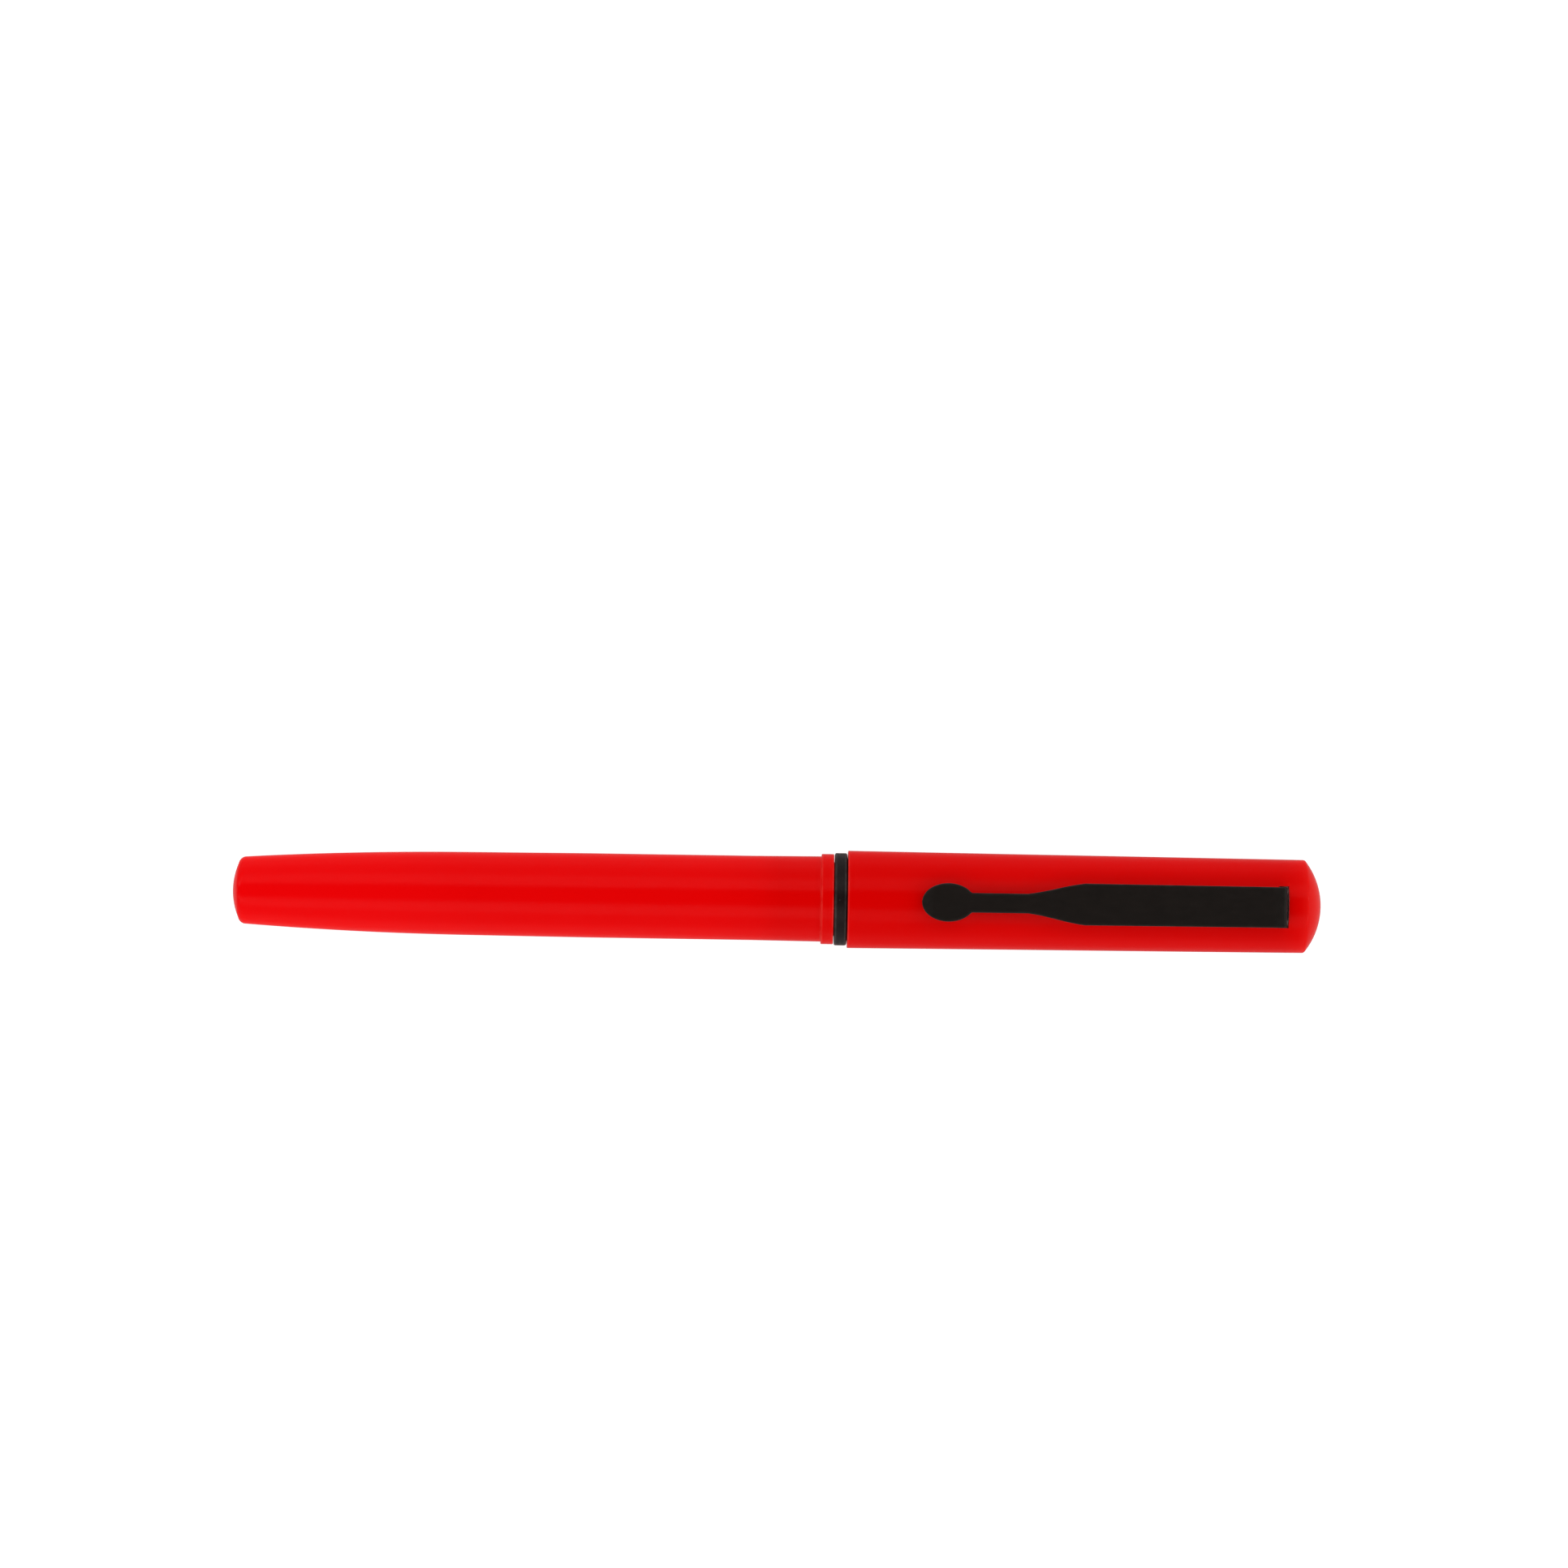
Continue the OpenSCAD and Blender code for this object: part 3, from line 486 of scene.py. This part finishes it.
def barrel_corners():
    tail_r = taper_radius(TAIL_EDGE_AT)
    lean = -90 + math.degrees(math.asin((tail_r - TAIL_EDGE_R) / (TAIL_DOME_R - TAIL_EDGE_R)))
    taper = [between(TAIL_EDGE_AT, TAPER_AT, (i + 1) / TAPER_STEPS) for i in range(TAPER_STEPS)]
    outside = arc(0, TAIL_DOME_R, TAIL_DOME_R, -90, lean, 20)
    outside[0] = (0, outside[0][1], 0)
    outside += arc(tail_r - TAIL_EDGE_R, TAIL_EDGE_AT, TAIL_EDGE_R, lean, 0, 10)
    outside += [(taper_radius(at), at, 0) for at in taper]
    outside += [
        (BARREL_R, STRAIGHT_FROM, 0), (BARREL_R, STRAIGHT_TO, 0), (MOUTH_R, MOUTH_AT, 0.06),
        (LIP_R, MOUTH_AT, 0.22), (LIP_R, BARREL_LEN, 0.12),
    ]
    inside = [
        (RING_BORE_R, BARREL_LEN, 0.1), (RING_BORE_R, THREAD_ENTRY_AT, 0),
        (THREAD_BORE_R, THREAD_ENTRY_AT - THREAD_ENTRY_LEN, 0), (THREAD_BORE_R, THREAD_BORE_AT, 0),
        (FRONT_BORE_R, FRONT_BORE_AT, 0), (BARREL_BORE_R, SPRING_BORE_AT, 0),
        (SPRING_BORE_R, TAIL_WALL, 0.12), (0, TAIL_WALL, 0),
    ]
    return outside + inside


def make_barrel():
    bm, edge_values = bmesh.new(), []
    add_turned(bm, refined(rounded(barrel_corners())), edge_values)
    root_r = ROOT_R + RIDGE_HEIGHT + THREAD_GAP
    add_ridge(bm, edge_values, root_r, ROOT_R + THREAD_GAP, FEMALE_AT, FEMALE_TURNS)
    return finish_mesh("barrel_shell", bm, edge_values)


def make_ring():
    front = RING_AT + RING_LEN
    return turned("collar_band", [
        (RING_BORE_R, RING_AT, 0.08), (RING_R, RING_AT, 0.2),
        (RING_R, front, 0.25), (RING_BORE_R, front, 0.08),
    ])


def section_corners():
    outside = [
        (ROOT_R - SHANK_BEVEL, SHANK_END, 0), (ROOT_R, SHANK_END + SHANK_BEVEL, 0),
        (ROOT_R, SEAT_AT - SEAT_CONE_LEN, 0.1),
        (SEAT_R, SEAT_AT, 0.1), (SEAT_R, NECK_AT, 0.05), (NECK_R, NECK_AT, 0.12), (NECK_R, RIB_AT, 0.05),
        (RIB_R, RIB_AT, 0.12), (RIB_R, RIB_AT + RIB_LEN, 0.12),
    ]
    for i in range(TAPER_STEPS + 1):
        share = i / TAPER_STEPS
        r = between(GRIP_BACK_R, GRIP_FRONT_R, share) + GRIP_SWELL * 4 * share * (1 - share)
        outside.append((r, between(GRIP_AT, GRIP_FRONT_AT - BEVEL, share), 0))
    outside.append((GRIP_FRONT_R - BEVEL, GRIP_FRONT_AT, 0))
    inside = [
        (SOCKET_R, GRIP_FRONT_AT, 0.05), (SOCKET_R, SOCKET_AT, 0),
        (REFILL_BORE_R, SOCKET_AT, 0), (REFILL_BORE_R, SHANK_END, 0.1),
    ]
    return outside + inside


def make_section():
    bm, edge_values = bmesh.new(), []
    add_turned(bm, refined(rounded(section_corners())), edge_values)
    add_ridge(bm, edge_values, ROOT_R, ROOT_R + RIDGE_HEIGHT, MALE_AT, MALE_TURNS)
    return finish_mesh("grip_body", bm, edge_values)


def make_nose():
    return turned("nose_tip", [
        (REFILL_BORE_R, SPIGOT_AT, 0.05), (SPIGOT_R, SPIGOT_AT, 0.08), (SPIGOT_R, NOSE_AT, 0.03),
        (NOSE_BACK_R, NOSE_AT, 0.1), (NOSE_FRONT_R, NOSE_FRONT_AT, 0.2), (POINT_BORE_R, NOSE_FRONT_AT, 0.06),
        (POINT_BORE_R, POINT_BORE_AT, 0), (NECK_BORE_R, NECK_BORE_END_AT, 0),
        (NECK_BORE_R, STOP_AT + STOP_LEN, 0), (REFILL_BORE_R, STOP_AT, 0),
    ])


def make_point():
    """The metal point: a straight body, two cones with a ring between them, and the lip over the ball."""
    mouth_at = BALL_AT + math.sqrt(BALL_SEAT_R**2 - BALL_MOUTH_R**2)
    seat_from = math.degrees(math.asin((mouth_at - BALL_AT) / BALL_SEAT_R))
    seat = arc(0, BALL_AT, BALL_SEAT_R, seat_from, -60, 12)
    groove_r = POINT_R - GROOVE_DEPTH
    return turned("point_body", [
        (INK_CHANNEL_R, SHANK_AT, 0), (SHANK_R, SHANK_AT, 0.12), (SHANK_R, POINT_AT, 0),
        (POINT_R, POINT_AT, 0.1), (POINT_R, GROOVE_FROM, 0.02), (groove_r, GROOVE_FROM + GROOVE_SIDE, 0.02),
        (groove_r, GROOVE_TO - GROOVE_SIDE, 0.02), (POINT_R, GROOVE_TO, 0.02), (POINT_R, POINT_CONE_AT, 0.05),
        (WAIST_R + WAIST_STEP, WAIST_AT - WAIST_BACK, 0.02), (WAIST_R + WAIST_STEP, WAIST_AT, 0.02),
        (WAIST_R - WAIST_STEP, WAIST_AT + WAIST_FRONT, 0.02),
        (POINT_LIP_R, mouth_at - POINT_LIP_LEN, 0.03), (POINT_FACE_R, mouth_at, 0.02),
        *seat, (FEED_CHANNEL_R, POINT_CONE_AT, 0), (INK_CHANNEL_R, POINT_CONE_AT - CHANNEL_CONE_LEN, 0),
    ], segments=96)


def coil_rise(turn):
    """Share of the spring's length at a turn: closed end turns, open turns between."""
    closed = 2 * WIRE_R / (SPRING_TO - SPRING_FROM)
    open_turns = SPRING_TURNS - 2 * CLOSED_TURNS
    ends = min(turn, CLOSED_TURNS) + max(turn - SPRING_TURNS + CLOSED_TURNS, 0)
    middle = min(max(turn - CLOSED_TURNS, 0), open_turns) / open_turns
    return ends * closed + middle * (1 - 2 * CLOSED_TURNS * closed)


def make_spring():
    bm, rows = bmesh.new(), []
    for i in range(SPRING_TURNS * COIL_STEPS + 1):
        turn = i / COIL_STEPS
        rise = between(SPRING_FROM, SPRING_TO, coil_rise(turn))
        ring = []
        for j in range(WIRE_SIDES):
            a = 2 * math.pi * j / WIRE_SIDES
            r = SPRING_R - WIRE_R + WIRE_R * math.cos(a)
            ring.append(bm.verts.new(polar(r, rise + WIRE_R * math.sin(a), 2 * math.pi * turn)))
        rows.append(ring)
    add_rows(bm, rows, closed=False)
    bm.faces.new(rows[0])
    bm.faces.new(rows[-1])
    return finish_mesh("coil_spring", bm, None)


def cap_corners():
    dome_at = CAPPED_LEN - CAP_DOME_R
    reach = CAP_DOME_R - CAP_EDGE_R
    edge_at = dome_at + math.sqrt(reach**2 - (CAP_END_R - CAP_EDGE_R) ** 2)
    lean = math.degrees(math.atan2(edge_at - dome_at, CAP_END_R - CAP_EDGE_R))
    gate_lean = math.degrees(math.acos(GATE_R / CAP_DOME_R))
    gate_at = CAPPED_LEN - GATE_DEPTH
    outside = [
        (CAP_MOUTH_R, CAP_MOUTH_AT, CAP_BEVEL), (CAP_BEND_R, CAP_BEND_AT, 0),
        (CAP_FAR_BEND_R, CAP_FAR_BEND_AT, 0),
    ]
    outside += arc(CAP_END_R - CAP_EDGE_R, edge_at, CAP_EDGE_R, 0, lean, 8)
    outside += arc(0, dome_at, CAP_DOME_R, lean, gate_lean, 22)[1:]
    outside += [(GATE_R * 0.8, gate_at, GATE_EDGE_R), (0, gate_at, 0)]
    inside = [
        (0, CROWN_AT, 0), (LINER_SEAT_R, CROWN_AT, 0), (LINER_SEAT_R, LINER_SEAT_AT, 0),
        (CAP_BORE_R, CAP_BORE_CONE_AT, 0), (CAP_BORE_R, SNAP_AT + 2 * SNAP_SLOPE + SNAP_TOP, 0),
        (SNAP_R, SNAP_AT + SNAP_SLOPE + SNAP_TOP, 0.05), (SNAP_R, SNAP_AT + SNAP_SLOPE, 0.05),
        (CAP_BORE_R, SNAP_AT, 0), (CAP_BORE_R, CAP_MOUTH_AT, CAP_MOUTH_EDGE_R),
    ]
    return outside + inside


def make_cap():
    cap = turned("cap_body", cap_corners(), segments=192)
    cut_box(cap, (SLOT_FROM, -SLOT_HALF, SLOT_FLOOR), (SLOT_TO, SLOT_HALF, CAP_MOUTH_R + 1))
    return cap


def make_liner():
    liner = turned("liner_cup", [
        (LINER_MOUTH_R, LINER_MOUTH_AT, 0.1), (LINER_SLEEVE_R, LINER_MOUTH_AT, 0.1),
        (LINER_SLEEVE_R, LINER_PLUG_AT - LINER_PLUG_CONE_LEN, 0), (LINER_R, LINER_PLUG_AT, 0),
        (LINER_R, LINER_END_AT, 0.1), (0, LINER_END_AT, 0), (0, LINER_TIP_AT, 0),
        (LINER_TIP_R - LINER_TIP_BEVEL, LINER_TIP_AT, 0), (LINER_TIP_R, LINER_TIP_AT - LINER_TIP_BEVEL, 0),
        (LINER_TIP_R, LINER_NOSE_END_AT, 0), (LINER_NOSE_R, LINER_NOSE_END_AT, 0),
        (LINER_NOSE_R, LINER_PLUG_AT, 0),
    ], segments=96)
    room = TAB_W / 2 + TAB_ROOM
    cut_box(liner, (TAB_ROOM_FROM, -room, TAB_ROOM_FLOOR), (SLOT_TO, room, TAB_ROOM_TOP))
    return liner


def clip_half_width(at):
    """Half of the clip's width: oval head, stem, curved swelling and plate."""
    u = (at - HEAD_FRONT - HEAD_LEN / 2) / (HEAD_LEN / 2)
    head = HEAD_W / 2 * math.sqrt(max(0.0, 1 - u * u))
    swell = share_of(at, SWELL_FROM, SWELL_TO)
    eased = between(swell, (1 - math.cos(math.pi * swell)) / 2, SWELL_EASE)
    narrowed = (PLATE_W - PLATE_END_W) * share_of(at, SWELL_TO, FOLD_AT)
    strip = (between(STEM_W, PLATE_W, eased) - narrowed) / 2
    return head if u < 0 else max(head, strip)


def clip_stations():
    """Distances along the strip's length, close together at its tip, neck and bend."""
    half = HEAD_LEN / 2
    tip = [HEAD_FRONT + half * (1 - math.cos(math.pi / 2 * i / 18)) for i in range(19)]
    neck = [HEAD_FRONT + half + half * math.sin(math.pi / 2 * i / 16) for i in range(1, 16)]
    stem = [between(HEAD_FRONT + HEAD_LEN, SWELL_FROM, i / 6) for i in range(7)]
    swell = [between(SWELL_FROM, SWELL_TO, i / 20) for i in range(1, 21)]
    bend_from = FOLD_AT - FOLD_R
    plate = [between(SWELL_TO, bend_from, i / 16) for i in range(1, 17)]
    bend = [bend_from + FOLD_R * math.pi / 2 * i / 12 for i in range(1, 13)]
    leg_len = STRIP_UNDER + STRIP_T - FOLD_R - LEG_FOOT
    leg = [bend[-1] + leg_len * i / 5 for i in range(1, 6)]
    return tip + neck + stem + swell + plate + bend + leg


def bent(along, across, height):
    """Folds a point of the flat strip, given along, across and over its outer face, into place."""
    bend_from, top = FOLD_AT - FOLD_R, STRIP_UNDER + STRIP_T
    if along <= bend_from:
        lift = HEAD_RISE * max(0.0, 1 - (along - HEAD_FRONT) / HEAD_RISE_LEN) ** 1.5
        station, over = along, top + height + lift
    elif along <= bend_from + FOLD_R * math.pi / 2:
        angle, r = (along - bend_from) / FOLD_R, FOLD_R + max(height, -FOLD_R)
        station, over = bend_from + r * math.sin(angle), top - FOLD_R + r * math.cos(angle)
        inner = min(0.0, height + FOLD_R)
        station, over = station + inner, over + inner
    else:
        station = FOLD_AT + height
        over = top - FOLD_R - (along - bend_from - FOLD_R * math.pi / 2)
    return ((station - CAPPED_LEN / 2) * MM, across * MM, (over + AXIS_HEIGHT) * MM)


def edge_distance(at, across, rim, i):
    """Distance from a point of the strip to its outline, looking at the nearest part of it."""
    here = Vector((at, abs(across)))
    best = 1.0
    for k in range(max(0, i - 12), min(len(rim) - 1, i + 12)):
        a, step = rim[k], rim[k + 1] - rim[k]
        share = min(max((here - a).dot(step) / max(step.length_squared, 1e-12), 0), 1)
        best = min(best, (here - a - step * share).length)
    return best


def bend_highlight(at):
    """Painted highlight where the strip bends: how much lighter the paint is there, at a distance along it.
    """
    bend_from = FOLD_AT - FOLD_R
    rising = share_of(at, bend_from - 0.25, bend_from)
    falling = 1 - share_of(at, bend_from + 0.4, FOLD_AT + 0.3)
    return BEND_HIGHLIGHT * rising * falling


def add_strip(bm, edge_values):
    """The clip's strip with rounded edges, as two grids joined along its outline."""
    stations = clip_stations()
    rim = [Vector((at, clip_half_width(at))) for at in stations]
    columns = [0.0, 0.4, 0.75, 0.9, 0.955, 0.98, 0.993, 1.0]
    shares = [-u for u in reversed(columns)] + columns[1:]
    rows = []
    for i, at in enumerate(stations):
        ring = []
        for side in (1, -1):
            for u in shares[::side]:
                across = u * rim[i].y
                near = edge_distance(at, across, rim, i)
                gap = max(0.0, CLIP_EDGE_R - near)
                drop = CLIP_EDGE_R - math.sqrt(max(0.0, CLIP_EDGE_R**2 - gap**2))
                height = -drop if side == 1 else drop - STRIP_T
                ring.append(bm.verts.new(bent(at, across, height)))
                # Lighter paint on the rounded edges and at the bend: painted highlight.
                edge_values.append(max(bend_highlight(at), min(1.0, gap / CLIP_EDGE_R * 1.2)))
        rows.append(ring)
    add_rows(bm, rows, closed=False)
    bm.faces.new(rows[-1])


def add_block(bm, edge_values, low, high):
    """Block between two corners (station, across, height over the axis), for the tab inside the cap."""
    made = bmesh.ops.create_cube(bm, size=1.0)["verts"]
    for v in made:
        corner = [between(low[i], high[i], v.co[i] + 0.5) for i in range(3)]
        v.co = ((corner[0] - CAPPED_LEN / 2) * MM, corner[1] * MM, (corner[2] + AXIS_HEIGHT) * MM)
    edge_values.extend([0.0] * len(made))


def add_dimple(bm, edge_values):
    """The round boss pressed out of the underside of the clip's head."""
    centre_at = HEAD_FRONT + HEAD_LEN / 2
    slope = (CAP_MOUTH_R - CAP_BEND_R) / (CAP_BEND_AT - CAP_MOUTH_AT - CAP_BEVEL)
    cap_r = CAP_MOUTH_R - slope * (centre_at - CAP_MOUTH_AT - CAP_BEVEL)
    centre_over = cap_r + DIMPLE_GAP + DIMPLE_R
    reach = math.acos((centre_over - STRIP_UNDER - DIMPLE_SUNK) / DIMPLE_R)
    rows = []
    for i in range(DIMPLE_RINGS + 1):
        polar_angle = reach * i / DIMPLE_RINGS
        r, over = DIMPLE_R * math.sin(polar_angle), centre_over - DIMPLE_R * math.cos(polar_angle)
        steps = 1 if i == 0 else DIMPLE_SEGMENTS
        row = []
        for j in range(steps):
            a = 2 * math.pi * j / DIMPLE_SEGMENTS
            x = (centre_at + r * math.cos(a) - CAPPED_LEN / 2) * MM
            row.append(bm.verts.new((x, r * math.sin(a) * MM, (over + AXIS_HEIGHT) * MM)))
        rows.append(row)
        edge_values.extend([DIMPLE_WEAR if i < DIMPLE_WORN_RINGS else 0.0] * steps)
    add_rows(bm, rows, closed=False)
    bm.faces.new(rows[-1])


def make_clip():
    bm, edge_values = bmesh.new(), []
    add_strip(bm, edge_values)
    inner, half, foot = FOLD_AT - STRIP_T, TAB_W / 2, TAB_TOP - TAB_T
    add_block(bm, edge_values, (inner, -half, foot), (FOLD_AT, half, LEG_FOOT + TAB_OVERLAP))
    add_block(bm, edge_values, (inner - TAB_LEN, -half, foot), (inner + TAB_OVERLAP, half, TAB_TOP))
    add_dimple(bm, edge_values)
    return finish_mesh("clip_strip", bm, edge_values)


# ---------------------------------------------------------------- assembly


def dress(piece, body, material, cad_node):
    """Gives a finished piece its material, and puts it in place of its CAD node."""
    piece.data.materials.clear()
    piece.data.materials.append(material)
    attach(piece, body)
    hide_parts(cad_node)


def dress_cad(cad_node, material):
    """Gives a CAD node that stays a better material."""
    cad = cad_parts[cad_node]
    for slot in cad.material_slots:
        slot.material = material


def make_pen(materials):
    makers = [
        (make_barrel, "barrel", "red_barrel", "barrel"),
        (make_section, "section", "black_gloss", "grip_section"),
        (make_nose, "section", "black_gloss", "nose_cone"),
        (make_point, "refill", "nickel_silver", "writing_point"),
        (make_cap, "cap", "red_cap", "cap_shell"),
        (make_liner, "cap", "liner_plastic", "inner_cap"),
        (make_clip, "clip", "black_clip", "clip"),
    ]
    for make, body, slot, cad_node in makers:
        dress(make(), body, materials[slot], cad_node)
    dress(make_ring(), "collar", materials["black_ring"], "collar_ring")
    spring = make_spring()
    dress(spring, "barrel", materials["spring_steel"], "refill_spring")
    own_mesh(spring)
    kept = {
        "writing_ball": "ball_carbide", "refill_tube": "steel_tube", "refill_end_plug": "blue_plug",
        "ink_column": "ink", "ink_follower": "grease",
    }
    for cad_node, slot in kept.items():
        dress_cad(cad_node, materials[slot])


# ---------------------------------------------------------------- studio


def axis_of(tree, vector, axis):
    """One of a vector's three parts."""
    return node(tree, "ShaderNodeSeparateXYZ", {"Vector": vector}).outputs[axis]


def size_of(tree, value):
    return maths(tree, "ABSOLUTE", value, 0)


def make_floor():
    """Floor that glows white. What it throws on the pen is weaker, and weaker still in the pen's gloss, where
    the floor also dims close to the pen: painted shade standing in for the pen's shadow.
    """
    size, albedo, cloud_mm = 3.0, 0.34, 90.0
    # The third value is the floor's glow close to the pen as seen in the pen's gloss: painted shade.
    glow, bounce, painted_shade_near_pen = 0.86, 0.72, 0.15
    near, far = 0.006, 0.05
    bpy.ops.mesh.primitive_plane_add(size=size)
    floor = bpy.context.object
    floor.name = "studio_floor"
    material, tree, shader = new_material("studio_floor", Specular_IOR_Level=0.0, Roughness=1.0)
    shade = remap(tree, noise(tree, cloud_mm), 0.3, 0.7)
    wire(tree, shader, Base_Color=mixed(tree, shade, (albedo,) * 3, (albedo * 0.97,) * 3))
    shader.inputs["Emission Color"].default_value = (1, 1, 1, 1)
    # In the pen's gloss the floor dims towards the pen's axis: painted shadow of the pen.
    away = size_of(tree, axis_of(tree, place(tree), "Y"))
    gloss_glow_with_painted_shade = remap(tree, away, near, far, painted_shade_near_pen, glow)
    path = node(tree, "ShaderNodeLightPath").outputs
    lit = remap(tree, path["Is Diffuse Ray"], 0.0, 1.0, glow, bounce)
    wire(tree, shader, Emission_Strength=remap(tree, path["Is Glossy Ray"], 0.0, 1.0, lit, gloss_glow_with_painted_shade))
    floor.data.materials.append(material)


def glint_strips(tree, direction, lean):
    """Two bright strips towards the pen's ends that show only in its gloss, seen from the side."""
    power = 7.0
    endways = remap(tree, size_of(tree, axis_of(tree, direction, "X")), 0.32, 0.5, smooth=True)
    sideways = size_of(tree, lean)
    inner = remap(tree, sideways, 0.45, 0.6, smooth=True)
    outer = remap(tree, sideways, 0.9, 1.15, 1.0, 0.0, smooth=True)
    strips = maths(tree, "MULTIPLY", maths(tree, "MULTIPLY", inner, outer), endways)
    seen_in_gloss = node(tree, "ShaderNodeLightPath").outputs["Is Glossy Ray"]
    return maths(tree, "MULTIPLY", maths(tree, "MULTIPLY", strips, seen_in_gloss), power)


def make_world():
    """White surroundings with a darker slot overhead, where the camera looks down between the lights."""
    dark, white, lowest = 0.08, 0.95, 0.01
    world = bpy.data.worlds.new("studio")
    bpy.context.scene.world = world
    world.use_nodes = True
    tree = world.node_tree
    direction = node(tree, "ShaderNodeTexCoord").outputs["Generated"]
    height = maths(tree, "MAXIMUM", axis_of(tree, direction, "Z"), lowest)
    lean = maths(tree, "DIVIDE", axis_of(tree, direction, "Y"), height)
    left = remap(tree, lean, -0.42, -0.23, 1.0, 0.0, smooth=True)
    right = remap(tree, lean, 0.35, 0.42, smooth=True)
    brightness = remap(tree, maths(tree, "ADD", left, right), 0.0, 1.0, dark, white)
    lit = maths(tree, "ADD", brightness, glint_strips(tree, direction, lean))
    seen = node(tree, "ShaderNodeLightPath").outputs["Is Camera Ray"]
    background = tree.nodes["Background"]
    background.inputs["Color"].default_value = (1, 1, 1, 1)
    tree.links.new(maths(tree, "MAXIMUM", lit, seen), background.inputs["Strength"])


def make_light(name, place_m, size, power):
    light = bpy.data.lights.new(name, "AREA")
    light.shape, light.size, light.size_y, light.energy = "RECTANGLE", size[0], size[1], power
    lamp = bpy.data.objects.new(name, light)
    lamp.location = place_m
    lamp.rotation_euler = (-Vector(place_m)).to_track_quat("-Z", "Y").to_euler()
    lamp.visible_camera = False
    bpy.context.scene.collection.objects.link(lamp)


def make_camera():
    distance, frame_width, sensor, tilt = 0.600, 0.19328, 36.0, 0.01566
    middle_x, middle_y = 0.00067, 0.01410
    camera = bpy.data.objects.new("camera", bpy.data.cameras.new("camera"))
    camera.data.sensor_width = sensor
    camera.data.lens = distance / frame_width * sensor
    camera.data.clip_start = 0.01
    camera.location = (middle_x, middle_y, AXIS_HEIGHT * MM + distance)
    camera.rotation_euler = (0, 0, tilt)
    bpy.context.scene.collection.objects.link(camera)
    bpy.context.scene.camera = camera


def make_studio():
    bpy.context.scene.view_settings.view_transform = "Standard"
    make_floor()
    make_world()
    make_light("soft_left", (0.0, -0.62, 0.80), (1.4, 0.5), 2.5)
    make_light("soft_right", (0.1, 0.66, 0.78), (1.4, 0.5), 2.25)
    make_camera()


make_pen(make_materials())
make_studio()
